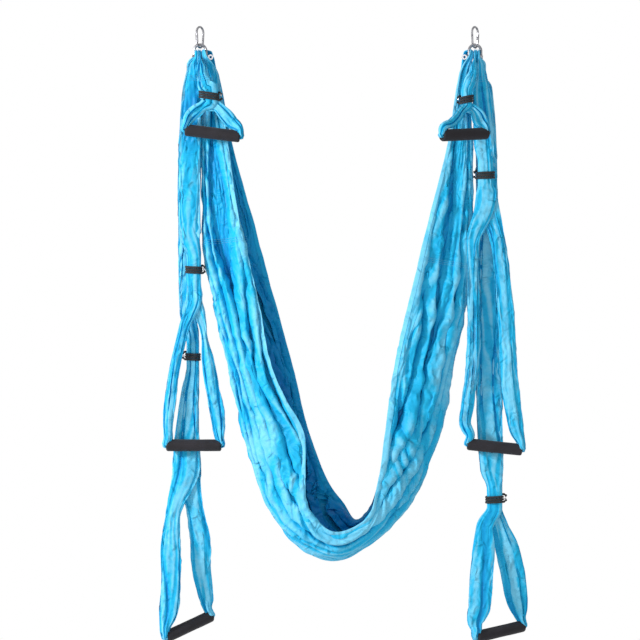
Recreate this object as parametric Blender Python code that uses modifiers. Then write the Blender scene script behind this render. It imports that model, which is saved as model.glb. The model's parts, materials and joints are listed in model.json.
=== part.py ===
"""Aerial hammock: a gathered fabric sheet hung from two shackles and snap hooks, with three
foam handled straps on each side.

All sizes are in metres, +Z is up and +Y is away from the front. The origin is the seat of the
left snap hook, where a ceiling eye carries it, and the right snap hook hangs along +X from it.
"""

import math
from collections import namedtuple

import bmesh
import bpy
from mathutils import Matrix, Vector

X_AXIS, Y_AXIS, Z_AXIS = Vector((1, 0, 0)), Vector((0, 1, 0)), Vector((0, 0, 1))
MILLIMETRES = 1000

# Overall layout
HANG_SPACING = 0.650
RUNNING_GAP = 0.0003
MERGE_DISTANCE = 0.00001
CUT_OVERRUN = 0.003

# Snap hook: a pear shaped ring of round wire, open where the gate sits
HOOK_WIRE = 0.005
HOOK_INNER_LENGTH = 0.044
HOOK_TOP_WIDTH = 0.032
HOOK_BOTTOM_WIDTH = 0.028
HOOK_PLAN_TURN = math.radians(56)
HOOK_ARC_POINTS = 9
TANG_LENGTH = 0.0068
TANG_THICKNESS = 0.0024

# Gate of the snap hook, with its rivet and its spring
GATE_DIAMETER = 0.0062
GATE_BORE = 0.0042
GATE_FOOT = 0.002
GATE_RIVET = 0.005
GATE_HEAD_GAP = 0.001
GATE_SLOT_SPARE = 0.0015
GATE_SEGMENTS = 12
RIVET_DIAMETER = 0.002
SPRING_WIRE = 0.0006
SPRING_LENGTH = 0.005
SPRING_TURNS = 4
SPRING_POINTS_A_TURN = 8

# Bow shackle
SHACKLE_WIRE = 0.0065
SHACKLE_INNER_WIDTH = 0.022
SHACKLE_LEG = 0.0153
SHACKLE_EAR_DIAMETER = 0.0135
HOOK_SEAT_GAP = 0.0013
BOW_ARC_POINTS = 11
BOW_SEGMENTS = 16

# Shackle pin
PIN_DIAMETER = 0.007
PIN_TIP = 0.001
PIN_COLLAR_DIAMETER = 0.011
PIN_COLLAR = 0.0015
PIN_EYE_DIAMETER = 0.013
PIN_EYE_HOLE = 0.0056
PIN_EYE_THICKNESS = 0.004

# Fabric where it is looped over the shackle pin, one lane beside the next
LANE_GAP = 0.0008
STRAP_LANE = 0.0036
SHEET_LANE = 0.0070
LOOP_GAP = 0.0004
LOOP_THICKNESS = 0.0140
LOOP_ANGLES = [math.radians(angle) for angle in (0, 45, 90)]
LOOP_TAIL = 0.010
LANE_END = 0.036
FAN_START = 0.008
FAN_END = 0.044

# Gathered fabric of the straps
STRAP_SIDES = 10
STRAP_HALF_WIDTH = 0.025
LEG_HALF_WIDTH = 0.0125
NECK_SLIT = 0.0012
NECK_OUTER = 0.0080
NECK_INNER = 0.0010
LEG_THICKNESS = 0.0065
FOLD_DEPTH_SHARE = 0.24
LEGS_PART_SHARE = 0.30

# How far each grip hangs below its shackle pin, and the straps' layers from front to back
LEFT_SHORT_DROP = 0.182
RIGHT_SHORT_DROP = 0.187
LEFT_MIDDLE_DROP = 0.917
RIGHT_MIDDLE_DROP = 0.921
LEFT_LONG_DROP = 1.347
RIGHT_LONG_DROP = 1.359
SHORT_LAYER = -0.030
LEFT_SHORT_GRIP_LAYER = -0.036
RIGHT_SHORT_GRIP_LAYER = -0.070
MIDDLE_LAYER = -0.006
LONG_LAYER = 0.0185

# Grips, and the core tubes inside them
GRIP_LENGTH = 0.130
GRIP_DIAMETER = 0.028
GRIP_ROUND = 0.004
TUBE_DIAMETER = 0.019
TUBE_BORE = 0.0154
TUBE_RECESS = 0.002
FABRIC_IN_TUBE = 0.0136
ROUND_SEGMENTS = 14
BEND_REACH = 0.0095
BEND_RISE = 0.015
# Rows of the bend: shares of the reach, of the rise, and of the fabric's width in the tube
BEND_SHARES = ((1.00, 1.00, 1.10), (1.00, 0.25, 1.00), (0.33, 0.00, 0.90), (-1.00, 0.00, 1.00))

# Elastic ties, and the crimp that joins each one's ends
TIE_CORD = 0.003
TIE_TURNS = 3
TIE_PITCH = 0.006
TIE_GAP = 0.0005
TIE_TRAVEL = 0.015
TIE_POINTS_A_TURN = 11
TIE_LEAD_ANGLE = math.radians(32)
CRIMP_DIAMETER = 0.0044
CRIMP_LENGTH = 0.0055
CRIMP_EDGE = 0.0006
CRIMP_GAP = 0.0006
CRIMP_SEGMENTS = 10

# Hammock sheet
SHEET_DROP = 1.2575
SHEET_HALF_DEPTH = 0.085
SHEET_SHIFT = 0.008
SHEET_THICKNESS = 0.009
SHEET_FOLD = 0.0045
SHEET_POINTS_ACROSS = 11
SHEET_STEPS_A_ROW = 2
HEAD_HALF_DEPTH = 0.0178

# Rows of the sheet: its outer line, its front rim and its back rim, each as shares of the
# hang spacing and of the sheet's drop, and the share of the half depth that it opens to
SHEET_SHARES = (
    ((0.018, 0.100), (0.060, 0.098), (0.064, 0.098), 0.18),
    ((0.022, 0.218), (0.102, 0.218), (0.116, 0.218), 0.18),
    ((0.016, 0.382), (0.151, 0.376), (0.198, 0.372), 0.38),
    ((0.051, 0.511), (0.211, 0.500), (0.265, 0.494), 0.55),
    ((0.113, 0.654), (0.273, 0.650), (0.344, 0.641), 0.72),
    ((0.176, 0.793), (0.385, 0.780), (0.400, 0.769), 0.85),
    ((0.264, 0.912), (0.384, 0.865), (0.484, 0.865), 0.95),
    ((0.353, 0.964), (0.404, 0.908), (0.527, 0.897), 1.00),
    ((0.505, 1.000), (0.495, 0.943), (0.567, 0.929), 1.00),
    ((0.636, 0.964), (0.596, 0.921), (0.615, 0.910), 1.00),
    ((0.760, 0.890), (0.651, 0.850), (0.665, 0.842), 0.95),
    ((0.860, 0.784), (0.676, 0.767), (0.695, 0.761), 0.85),
    ((0.916, 0.650), (0.716, 0.620), (0.742, 0.617), 0.70),
    ((0.970, 0.511), (0.771, 0.492), (0.793, 0.491), 0.55),
    ((0.980, 0.382), (0.822, 0.372), (0.844, 0.370), 0.38),
    ((0.984, 0.218), (0.911, 0.216), (0.920, 0.216), 0.18),
    ((0.975, 0.100), (0.938, 0.098), (0.942, 0.098), 0.18),
)
# Rows of the sheet's head over the pin: height as a share of the loop's outer radius, then
# the shares of the head's half depth and of the lane's width
HEAD_SHARES = (
    (1.00, 0.35, 0.70),
    (0.80, 0.72, 1.00),
    (0.35, 0.97, 1.00),
    (0.00, 1.00, 1.00),
    (-0.60, 0.92, 1.00),
    (-1.20, 0.72, 1.00),
)

# One strap. The drops are below the shackle pin and the leans are sideways from its middle.
# Neck rows: share of the way down, lean as a share of the neck's half width, width share.
# Leg rows: share of the way down, share of the grip's half reach, share of the leg's half width.
# The table gives the other drops as shares of the grip's drop, the leans and the neck's and
# the tie's widths as shares of STRAP_HALF_WIDTH, and the leg's of LEG_HALF_WIDTH.
Strap = namedtuple(
    "Strap",
    "side size layer grip_layer drop lean tilt turn neck_half_width leg_half_width "
    "tie_drop tie_lean tie_half_width tie_travel split_drop split_lean crimp_side "
    "upper_shares lower_shares left_leg_shares right_leg_shares",
)
STRAP_SHARES = (
    Strap(
        "left", "short", SHORT_LAYER, LEFT_SHORT_GRIP_LAYER, LEFT_SHORT_DROP, 1.24, -7, 0, 0.90, 0.94,
        0.506, 0.90, 0.84, 0.4, 0.593, 1.08, 1,
        ((0.50, 0.25, 0.45), (0.62, 0.62, 0.85)),
        (),
        ((0.27, 0.35, 0.90), (0.58, 0.72, 0.95), (0.82, 0.97, 0.78)),
        ((0.27, 0.35, 0.90), (0.58, 0.74, 0.90), (0.82, 1.03, 0.70)),
    ),
    Strap(
        "left", "middle", MIDDLE_LAYER, MIDDLE_LAYER, LEFT_MIDDLE_DROP, -0.576, 0, 0, 1.00, 1.16,
        0.547, -0.568, 0.68, 1, 0.658, -0.52, 1,
        ((0.092, -0.45, 0.50), (0.13, -0.72, 0.90), (0.25, -0.86, 1.00), (0.55, -0.95, 1.00), (0.82, -0.92, 0.95)),
        ((0.60, -0.55, 0.76),),
        ((0.14, 0.38, 0.88), (0.47, 0.72, 0.97), (0.74, 0.89, 1.00), (0.92, 0.96, 0.85)),
        ((0.10, 0.30, 0.66), (0.19, 0.37, 0.55), (0.39, 0.53, 0.97), (0.64, 0.71, 1.00), (0.87, 0.90, 1.00)),
    ),
    Strap(
        "left", "long", LONG_LAYER, LONG_LAYER, LEFT_LONG_DROP, -1.088, 20, 30, 1.24, 1.84,
        0.525, -0.708, 0.60, 1, 0.742, -1.42, -1,
        ((0.065, -0.40, 0.40), (0.10, -0.55, 0.70), (0.45, -0.72, 0.80), (0.85, -0.62, 0.75)),
        ((0.35, -0.87, 0.80), (0.65, -1.10, 1.00), (0.86, -1.10, 1.03)),
        ((0.22, 0.60, 0.72), (0.476, 0.75, 1.00), (0.66, 0.74, 0.98), (0.89, 0.90, 0.90)),
        ((0.22, 0.42, 0.85), (0.476, 0.62, 1.00), (0.66, 0.64, 0.88), (0.90, 0.81, 0.60)),
    ),
    Strap(
        "right", "short", SHORT_LAYER, RIGHT_SHORT_GRIP_LAYER, RIGHT_SHORT_DROP, -1.136, 4, 32, 0.76, 0.84,
        0.540, -0.84, 0.52, 0.4, 0.620, -0.98, -1,
        ((0.46, -0.30, 0.50), (0.60, -0.75, 0.80)),
        (),
        ((0.27, 0.38, 0.90), (0.56, 0.76, 0.90), (0.82, 1.03, 0.75)),
        ((0.27, 0.57, 0.90), (0.52, 0.92, 1.00), (0.80, 0.98, 1.00)),
    ),
    Strap(
        "right", "middle", MIDDLE_LAYER, MIDDLE_LAYER, RIGHT_MIDDLE_DROP, 1.844, -6, 0, 1.00, 1.40,
        0.302, 0.992, 0.74, 1, 0.367, 1.08, -1,
        ((0.165, 0.42, 0.50), (0.23, 0.66, 0.90), (0.40, 0.92, 1.00), (0.75, 0.97, 1.00)),
        ((0.70, 1.06, 1.00),),
        ((0.20, 0.58, 0.90), (0.50, 0.61, 0.94), (0.68, 0.70, 0.94), (0.87, 0.97, 0.88), (0.94, 1.03, 0.76)),
        ((0.20, 0.22, 0.94), (0.50, 0.50, 1.00), (0.75, 0.64, 1.15), (0.88, 0.79, 1.00), (0.95, 0.86, 0.90)),
    ),
    Strap(
        "right", "long", LONG_LAYER, LONG_LAYER, RIGHT_LONG_DROP, 2.412, 9, 26, 1.20, 2.16,
        0.769, 1.892, 0.74, 0.667, 0.792, 1.984, 1,
        ((0.045, 0.45, 0.42), (0.07, 0.65, 0.75), (0.35, 1.02, 0.87), (0.86, 1.25, 1.00), (0.93, 1.38, 0.92)),
        (),
        ((0.13, 0.50, 0.72), (0.35, 0.58, 0.98), (0.56, 0.73, 1.00), (0.80, 0.85, 0.92), (0.94, 1.03, 0.60)),
        ((0.13, 0.14, 0.72), (0.35, 0.44, 1.00), (0.56, 0.67, 0.96), (0.80, 0.79, 0.88), (0.92, 0.88, 0.62)),
    ),
)
SIDES = {"left": (0, 1), "right": (HANG_SPACING, -1)}


def sized_strap(row):
    """A strap with the shares of its row turned into sizes."""
    return row._replace(
        lean=row.lean * STRAP_HALF_WIDTH,
        neck_half_width=row.neck_half_width * STRAP_HALF_WIDTH,
        leg_half_width=row.leg_half_width * LEG_HALF_WIDTH,
        tie_drop=row.tie_drop * row.drop,
        tie_lean=row.tie_lean * STRAP_HALF_WIDTH,
        tie_half_width=row.tie_half_width * STRAP_HALF_WIDTH,
        tie_travel=row.tie_travel * TIE_TRAVEL,
        split_drop=row.split_drop * row.drop,
        split_lean=row.split_lean * STRAP_HALF_WIDTH,
    )


STRAPS = [sized_strap(row) for row in STRAP_SHARES]

# Sizes that follow from the ones above
HOOK_TOP_RADIUS = (HOOK_TOP_WIDTH - HOOK_WIRE) / 2
HOOK_BOTTOM_RADIUS = (HOOK_BOTTOM_WIDTH - HOOK_WIRE) / 2
HOOK_TOP_CENTRE = HOOK_WIRE / 2 - HOOK_TOP_RADIUS
HOOK_LOW_LINE = -HOOK_INNER_LENGTH - HOOK_WIRE / 2
HOOK_BOTTOM_CENTRE = HOOK_LOW_LINE + HOOK_BOTTOM_RADIUS
BOW_RADIUS = (SHACKLE_INNER_WIDTH + SHACKLE_WIRE) / 2
CROWN_LINE = -HOOK_INNER_LENGTH + HOOK_SEAT_GAP + SHACKLE_WIRE / 2
PIN_HEIGHT = CROWN_LINE - BOW_RADIUS - SHACKLE_LEG
EAR_OUTER = SHACKLE_INNER_WIDTH / 2 + SHACKLE_WIRE
LOOP_INNER = PIN_DIAMETER / 2 + LOOP_GAP
LOOP_OUTER = LOOP_INNER + LOOP_THICKNESS
NECK_DEPTH = NECK_SLIT / 2 + NECK_INNER + NECK_OUTER
TIE_HALF_HEIGHT = (TIE_TURNS * TIE_PITCH + TIE_CORD) / 2

Station = namedtuple("Station", "centre half_width outward inward in_neck")


def start_scene():
    """Empties the scene and makes the collections for the parts and the cutters."""
    for old in list(bpy.data.objects):
        bpy.data.objects.remove(old, do_unlink=True)
    collections = []
    for name in ("aerial_hammock", "cutters"):
        made = bpy.data.collections.new(name)
        bpy.context.scene.collection.children.link(made)
        collections.append(made)
    return collections


PARTS, CUTTERS = start_scene()


def make_material(name, colour, roughness, metallic):
    """A plain Principled material."""
    material = bpy.data.materials.new(name)
    material.use_nodes = True
    shader = material.node_tree.nodes["Principled BSDF"]
    shader.inputs["Base Color"].default_value = (*colour, 1)
    shader.inputs["Roughness"].default_value = roughness
    shader.inputs["Metallic"].default_value = metallic
    return material


STEEL = make_material("plated_steel", (0.66, 0.66, 0.69), 0.25, 1)
FABRIC = make_material("turquoise_nylon", (0.03, 0.42, 0.72), 0.45, 0)
FOAM = make_material("black_foam", (0.025, 0.024, 0.028), 0.85, 0)
PLASTIC = make_material("black_tube", (0.03, 0.03, 0.03), 0.5, 0)
ELASTIC = make_material("black_elastic", (0.015, 0.015, 0.017), 0.7, 0)


def add_pivot(name, world, parent=None):
    """An empty on a joint's axis, which the pieces of one moving body hang from."""
    pivot = bpy.data.objects.new(name, None)
    PARTS.objects.link(pivot)
    return hang(pivot, world, parent)


def hang(thing, world, parent=None):
    """Puts an object at a place in the world, under its parent."""
    base = Matrix.Identity(4)
    if parent:
        thing.parent = parent
        base = WORLD_PLACES[parent.name]
    thing.matrix_basis = base.inverted() @ world
    WORLD_PLACES[thing.name] = world
    return thing


WORLD_PLACES = {}


def add_part(name, data, world, parent, material):
    """A part that is kept."""
    part = bpy.data.objects.new(name, data)
    data.materials.append(material)
    PARTS.objects.link(part)
    return hang(part, world, parent)


def add_tool(name, data, world, parent=None):
    """A shape that only cuts or joins a part."""
    tool = bpy.data.objects.new(name, data)
    CUTTERS.objects.link(tool)
    tool.hide_render = True
    tool.display_type = "WIRE"
    return hang(tool, world, parent)


def combine(part, tool, operation):
    """Joins a tool's shape to a part, or cuts it out."""
    modifier = part.modifiers.new(tool.name, "BOOLEAN")
    modifier.operation = operation
    modifier.object = tool
    modifier.solver = "EXACT"


def rod_mesh(name, diameter, length, segments):
    """A round rod along Z, centred on its origin."""
    shape = bmesh.new()
    bmesh.ops.create_cone(
        shape, cap_ends=True, segments=segments, radius1=diameter / 2, radius2=diameter / 2, depth=length
    )
    return finished_mesh(name, shape)


def block_mesh(name, size_x, size_y, size_z):
    """A block centred on its origin."""
    shape = bmesh.new()
    bmesh.ops.create_cube(shape, size=1)
    bmesh.ops.scale(shape, vec=(size_x, size_y, size_z), verts=shape.verts)
    return finished_mesh(name, shape)


def finished_mesh(name, shape):
    """The mesh of a bmesh, with smooth sides."""
    mesh = bpy.data.meshes.new(name)
    shape.to_mesh(mesh)
    shape.free()
    mesh.shade_smooth()
    mesh.set_sharp_from_angle(angle=math.radians(40))
    return mesh


def along(direction, origin=Vector()):
    """A place whose Z axis runs along a direction."""
    return Matrix.Translation(origin) @ direction.to_track_quat("Z", "Y").to_matrix().to_4x4()


def in_plane(line):
    """A turn that keeps the Y axis and takes Z to a line square to it."""
    return Matrix((Y_AXIS.cross(line), Y_AXIS, line)).transposed().to_4x4()


def wire_curve(name, points, diameter, resolution):
    """A round wire through its points, with filled ends."""
    curve = bpy.data.curves.new(name, "CURVE")
    curve.dimensions = "3D"
    curve.bevel_depth = diameter / 2
    curve.bevel_resolution = resolution
    curve.use_fill_caps = True
    spline = curve.splines.new("POLY")
    spline.points.add(len(points) - 1)
    for target, point in zip(spline.points, points):
        target.co = (*point, 1)
    return curve


def wire_mesh(name, points, diameter, resolution):
    """A wire as a closed mesh, which can be cut and joined."""
    helper = bpy.data.objects.new(name, wire_curve(name, points, diameter, resolution))
    CUTTERS.objects.link(helper)
    graph = bpy.context.evaluated_depsgraph_get()
    mesh = bpy.data.meshes.new_from_object(helper.evaluated_get(graph))
    bpy.data.objects.remove(helper, do_unlink=True)
    shape = bmesh.new()
    shape.from_mesh(mesh)
    bmesh.ops.remove_doubles(shape, verts=shape.verts, dist=MERGE_DISTANCE)
    bmesh.ops.recalc_face_normals(shape, faces=shape.faces)
    bpy.data.meshes.remove(mesh)
    return finished_mesh(name, shape)


def turned_part(name, profile, world, parent, material):
    """A ring turned round Z from a closed profile, which runs down its outer side first."""
    mesh = bpy.data.meshes.new(name)
    points = [(radius, 0, height) for radius, height in profile]
    count = len(points)
    mesh.from_pydata(points, [(i, (i + 1) % count) for i in range(count)], [])
    part = add_part(name, mesh, world, parent, material)
    screw = part.modifiers.new("turn", "SCREW")
    screw.steps = screw.render_steps = ROUND_SEGMENTS
    screw.use_smooth_shade = True
    screw.use_merge_vertices = True
    screw.merge_threshold = MERGE_DISTANCE
    return part


def loft_mesh(name, rings, origin, closed_shift=None):
    """A skin over rings of points: a closed loop if it has a shift, otherwise with flat ends."""
    shape = bmesh.new()
    rows = [[shape.verts.new(point - origin) for point in ring] for ring in rings]
    count = len(rings[0])
    for here, there in zip(rows, rows[1:]):
        for i in range(count):
            j = (i + 1) % count
            shape.faces.new((here[i], here[j], there[j], there[i]))
    if closed_shift is None:
        shape.faces.new(rows[0])
        shape.faces.new(rows[-1])
    else:
        for i in range(count):
            j = (i + 1) % count
            first, second = (i - closed_shift) % count, (j - closed_shift) % count
            shape.faces.new((rows[-1][i], rows[-1][j], rows[0][second], rows[0][first]))
    bmesh.ops.recalc_face_normals(shape, faces=shape.faces)
    return finished_mesh(name, shape)


def smooth_step(share):
    """Eases from 0 to 1."""
    share = min(max(share, 0), 1)
    return share * share * (3 - 2 * share)


def lane_centres():
    """The middle of each fabric lane on the shackle pin, from the outer ear inwards."""
    centres = {}
    edge = -SHACKLE_INNER_WIDTH / 2 + LANE_GAP
    for lane in ("middle", "long", "short", "sheet"):
        width = SHEET_LANE if lane == "sheet" else STRAP_LANE
        centres[lane] = edge + width / 2
        edge += width + LANE_GAP
    return centres


LANES = lane_centres()


def pin_centre(side):
    """The middle of a side's shackle pin."""
    hang_x, _ = SIDES[side]
    return Vector((hang_x, 0, PIN_HEIGHT))


def hook_frame(side):
    """Where a snap hook stands: its seat on the ceiling eye, turned in plan, gate outwards."""
    hang_x, inward = SIDES[side]
    flip = Matrix.Rotation(0 if inward > 0 else math.pi, 4, "Z")
    return Matrix.Translation((hang_x, 0, 0)) @ flip @ Matrix.Rotation(HOOK_PLAN_TURN, 4, "Z")


def hook_outline():
    """The hook's wire from its hinge shoulder round the bottom, spine and top to its nose."""
    slope = math.asin((HOOK_TOP_RADIUS - HOOK_BOTTOM_RADIUS) / (HOOK_TOP_CENTRE - HOOK_BOTTOM_CENTRE))
    points = []
    for radius, centre, start in (
        (HOOK_BOTTOM_RADIUS, HOOK_BOTTOM_CENTRE, math.pi + slope),
        (HOOK_TOP_RADIUS, HOOK_TOP_CENTRE, -slope),
    ):
        sweep = math.pi - 2 * slope if centre == HOOK_BOTTOM_CENTRE else math.pi + 2 * slope
        for i in range(HOOK_ARC_POINTS):
            angle = start + sweep * i / (HOOK_ARC_POINTS - 1)
            points.append(Vector((radius * math.cos(angle), 0, centre + radius * math.sin(angle))))
    return points


def build_hook(side):
    """The snap hook: its wire, a flat tang at each end, and the rivet's hole."""
    frame = hook_frame(side)
    outline = hook_outline()
    hinge, nose = outline[0], outline[-1]
    line = (nose - hinge).normalized()
    root = add_pivot(side + "_hang_point", frame)
    hook = add_part(
        side + "_carabiner_hook", wire_mesh("hook_wire", outline, HOOK_WIRE, 2), frame, root, STEEL
    )
    for end, way, label in ((hinge, line, "hinge"), (nose, -line, "nose")):
        middle = end + way * (TANG_LENGTH - HOOK_WIRE / 2) / 2
        tang = add_tool(
            f"{side}_{label}_tang",
            block_mesh("tang", HOOK_WIRE, TANG_THICKNESS, TANG_LENGTH + HOOK_WIRE / 2),
            frame @ Matrix.Translation(middle) @ in_plane(line),
        )
        combine(hook, tang, "UNION")
    rivet_place = hinge + line * GATE_RIVET
    hole = add_tool(
        side + "_tang_hole",
        rod_mesh("tang_hole", RIVET_DIAMETER + 2 * RUNNING_GAP, HOOK_WIRE, GATE_SEGMENTS),
        frame @ along(Y_AXIS, rivet_place),
    )
    combine(hook, hole, "DIFFERENCE")
    build_gate(side, frame, hinge, nose, line, rivet_place, root)


def build_gate(side, frame, hinge, nose, line, rivet_place, root):
    """The gate with its slots and bore, its rivet, and the spring inside it."""
    length = (nose - hinge).length - GATE_FOOT - GATE_HEAD_GAP
    turn = in_plane(line)
    pivot = add_pivot(side + "_gate_pivot", frame @ Matrix.Translation(rivet_place), root)
    middle = hinge + line * (GATE_FOOT + length / 2)
    mesh = rod_mesh("gate", GATE_DIAMETER, length, GATE_SEGMENTS)
    mesh.transform(Matrix.Translation(middle - rivet_place) @ turn)
    gate = add_part(side + "_carabiner_gate", mesh, frame @ Matrix.Translation(rivet_place), pivot, STEEL)
    slot_end = TANG_LENGTH + GATE_SLOT_SPARE
    slot_width = TANG_THICKNESS + 2 * RUNNING_GAP
    for end, way, label in ((hinge, line, "foot"), (nose, -line, "head")):
        slot = add_tool(
            f"{side}_gate_{label}_slot",
            block_mesh("gate_slot", GATE_DIAMETER + CUT_OVERRUN, slot_width, slot_end + CUT_OVERRUN),
            frame @ Matrix.Translation(end + way * (slot_end - CUT_OVERRUN) / 2) @ turn,
        )
        combine(gate, slot, "DIFFERENCE")
    bore_length = SPRING_LENGTH + 2 * RUNNING_GAP + GATE_SLOT_SPARE
    bore_middle = hinge + line * (slot_end - GATE_SLOT_SPARE / 2 + bore_length / 2)
    cutters = (
        ("bore", GATE_BORE, bore_length, frame @ Matrix.Translation(bore_middle) @ turn),
        ("rivet_hole", RIVET_DIAMETER + 2 * RUNNING_GAP, 2 * GATE_DIAMETER, frame @ along(Y_AXIS, rivet_place)),
    )
    for label, diameter, depth, place in cutters:
        tool = add_tool(f"{side}_gate_{label}", rod_mesh(label, diameter, depth, GATE_SEGMENTS), place)
        combine(gate, tool, "DIFFERENCE")
    add_part(
        side + "_gate_rivet",
        rod_mesh("rivet", RIVET_DIAMETER, GATE_DIAMETER, GATE_SEGMENTS),
        frame @ along(Y_AXIS, rivet_place),
        root,
        STEEL,
    )
    coil = helix_points(
        (GATE_BORE - SPRING_WIRE) / 2 - RUNNING_GAP, SPRING_LENGTH - SPRING_WIRE, SPRING_TURNS, SPRING_POINTS_A_TURN
    )
    coil_foot = hinge + line * (slot_end + SPRING_WIRE / 2)
    spring = wire_mesh("gate_spring", coil, SPRING_WIRE, 0)
    spring.transform(Matrix.Translation(coil_foot - rivet_place) @ turn)
    add_part(side + "_gate_spring", spring, frame @ Matrix.Translation(rivet_place), pivot, STEEL)


def helix_points(radius, length, turns, points_a_turn):
    """Points up a round coil."""
    count = turns * points_a_turn
    angles = [2 * math.pi * turns * i / count for i in range(count + 1)]
    return [
        Vector((radius * math.cos(a), radius * math.sin(a), length * i / count)) for i, a in enumerate(angles)
    ]


def build_shackle(side, body):
    """The shackle's bow with its two eared ends."""
    hang_x, _ = SIDES[side]
    crown = Vector((hang_x, 0, CROWN_LINE - BOW_RADIUS))
    points = []
    for i in range(BOW_ARC_POINTS):
        angle = math.pi * i / (BOW_ARC_POINTS - 1)
        points.append(Vector((BOW_RADIUS * math.cos(angle), 0, BOW_RADIUS * math.sin(angle))))
    foot = SHACKLE_LEG - SHACKLE_EAR_DIAMETER / 4
    points = [points[0] - Z_AXIS * foot, *points, points[-1] - Z_AXIS * foot]
    place = Matrix.Translation(crown)
    bow = add_part(side + "_shackle_bow", wire_mesh("bow", points, SHACKLE_WIRE, 2), place, body, STEEL)
    for way in (-1, 1):
        ear_place = pin_centre(side) + X_AXIS * way * BOW_RADIUS
        ear = add_tool(
            f"{side}_ear_{'right' if way > 0 else 'left'}",
            rod_mesh("ear", SHACKLE_EAR_DIAMETER, SHACKLE_WIRE, BOW_SEGMENTS),
            along(X_AXIS, ear_place),
        )
        combine(bow, ear, "UNION")
    hole = add_tool(
        side + "_ear_hole",
        rod_mesh("ear_hole", PIN_DIAMETER + 2 * RUNNING_GAP, 2 * EAR_OUTER + CUT_OVERRUN, BOW_SEGMENTS),
        along(X_AXIS, pin_centre(side)),
    )
    combine(bow, hole, "DIFFERENCE")


def build_shackle_pin(side, body):
    """The pin with its collar and flat eye, turning about its own axis."""
    _, inward = SIDES[side]
    centre = pin_centre(side)
    pivot = add_pivot(side + "_pin_pivot", Matrix.Translation(centre), body)
    collar_foot = EAR_OUTER + RUNNING_GAP
    shaft_length = collar_foot + EAR_OUTER + PIN_TIP + PIN_COLLAR / 2
    shaft_middle = (collar_foot + PIN_COLLAR / 2 - EAR_OUTER - PIN_TIP) / 2
    mesh = rod_mesh("pin", PIN_DIAMETER, shaft_length, BOW_SEGMENTS)
    mesh.transform(along(X_AXIS * inward, X_AXIS * inward * shaft_middle))
    pin = add_part(side + "_shackle_pin", mesh, Matrix.Translation(centre), pivot, STEEL)
    collar_middle = X_AXIS * inward * (collar_foot + PIN_COLLAR / 2)
    collar = add_tool(
        side + "_pin_collar",
        rod_mesh("collar", PIN_COLLAR_DIAMETER, PIN_COLLAR, BOW_SEGMENTS),
        along(X_AXIS, centre + collar_middle),
    )
    eye_middle = X_AXIS * inward * (collar_foot + PIN_COLLAR / 2 + PIN_EYE_DIAMETER / 2)
    eye_place = along(Y_AXIS, centre + eye_middle)
    eye = add_tool(
        side + "_pin_eye", rod_mesh("eye", PIN_EYE_DIAMETER, PIN_EYE_THICKNESS, BOW_SEGMENTS), eye_place
    )
    hole = add_tool(
        side + "_eye_hole",
        rod_mesh("eye_hole", PIN_EYE_HOLE, PIN_EYE_THICKNESS + CUT_OVERRUN, GATE_SEGMENTS),
        eye_place,
    )
    combine(pin, collar, "UNION")
    combine(pin, eye, "UNION")
    combine(pin, hole, "DIFFERENCE")


def sheet_rows():
    """The sheet's sections from its left head round the bottom to its right head."""
    rows = []
    for outer, front, back, depth in SHEET_SHARES:
        points = [
            Vector((side * HANG_SPACING, 0, -down * SHEET_DROP)) for side, down in (outer, front, back)
        ]
        rows.append((*points, depth * SHEET_HALF_DEPTH, SHEET_THICKNESS, SHEET_SHIFT, SHEET_FOLD))
    smooth = []
    for i in range(len(rows) - 1):
        for step in range(SHEET_STEPS_A_ROW):
            smooth.append(blend_rows(rows, i, step / SHEET_STEPS_A_ROW))
    smooth.append(rows[-1])
    return head_rows("left") + smooth + head_rows("right")[::-1]


def blend_rows(rows, i, share):
    """A section between two rows, on a smooth curve through all of them."""
    before, here = rows[max(i - 1, 0)], rows[i]
    there, after = rows[i + 1], rows[min(i + 2, len(rows) - 1)]
    return tuple(
        curve_point(a, b, c, d, share) for a, b, c, d in zip(before, here, there, after)
    )


def curve_point(before, here, there, after, share):
    """A point of the smooth curve through four values, between the middle two."""
    bend = (before * 2 - here * 5 + there * 4 - after) * share * share
    twist = (here * 3 - before - there * 3 + after) * share * share * share
    return (here * 2 + (there - before) * share + bend + twist) / 2


def head_rows(side):
    """The sheet's head, folded over the shackle pin in its own lane."""
    _, inward = SIDES[side]
    rows = []
    for height, depth, width in HEAD_SHARES:
        thickness = SHEET_LANE * width
        outer = pin_centre(side) + Z_AXIS * height * LOOP_OUTER
        outer = outer + X_AXIS * inward * (LANES["sheet"] - thickness / 2)
        rows.append((outer, outer, outer, depth * HEAD_HALF_DEPTH, thickness, 0, 0))
    return rows


def sheet_ring(row):
    """One closed section of the sheet: its outer face from front to back, then its inner face."""
    outer, front, back, depth, thickness, shift, fold = row
    inward = front + back - outer * 2
    if inward.length < MERGE_DISTANCE:
        inward = X_AXIS * (1 if outer.x < HANG_SPACING / 2 else -1)
    inward.normalize()
    line = []
    last = SHEET_POINTS_ACROSS - 1
    for i in range(SHEET_POINTS_ACROSS):
        across = 2 * i / last - 1
        quarter = abs(across) * math.pi / 2
        rim = front if across < 0 else back
        rise = (rim - outer) * (1 - math.cos(quarter))
        line.append(outer + rise + Y_AXIS * (shift + math.copysign(depth * math.sin(quarter), across)))
    outside, inside = [], []
    for i, point in enumerate(line):
        run = line[min(i + 1, last)] - line[max(i - 1, 0)]
        normal = inward * run.y - Y_AXIS * run.dot(inward)
        normal.normalize()
        pleat = fold if i % 2 else 0
        outside.append(point + normal * pleat)
        inside.append(point + normal * (pleat + thickness))
    return outside + inside[::-1]


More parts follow.
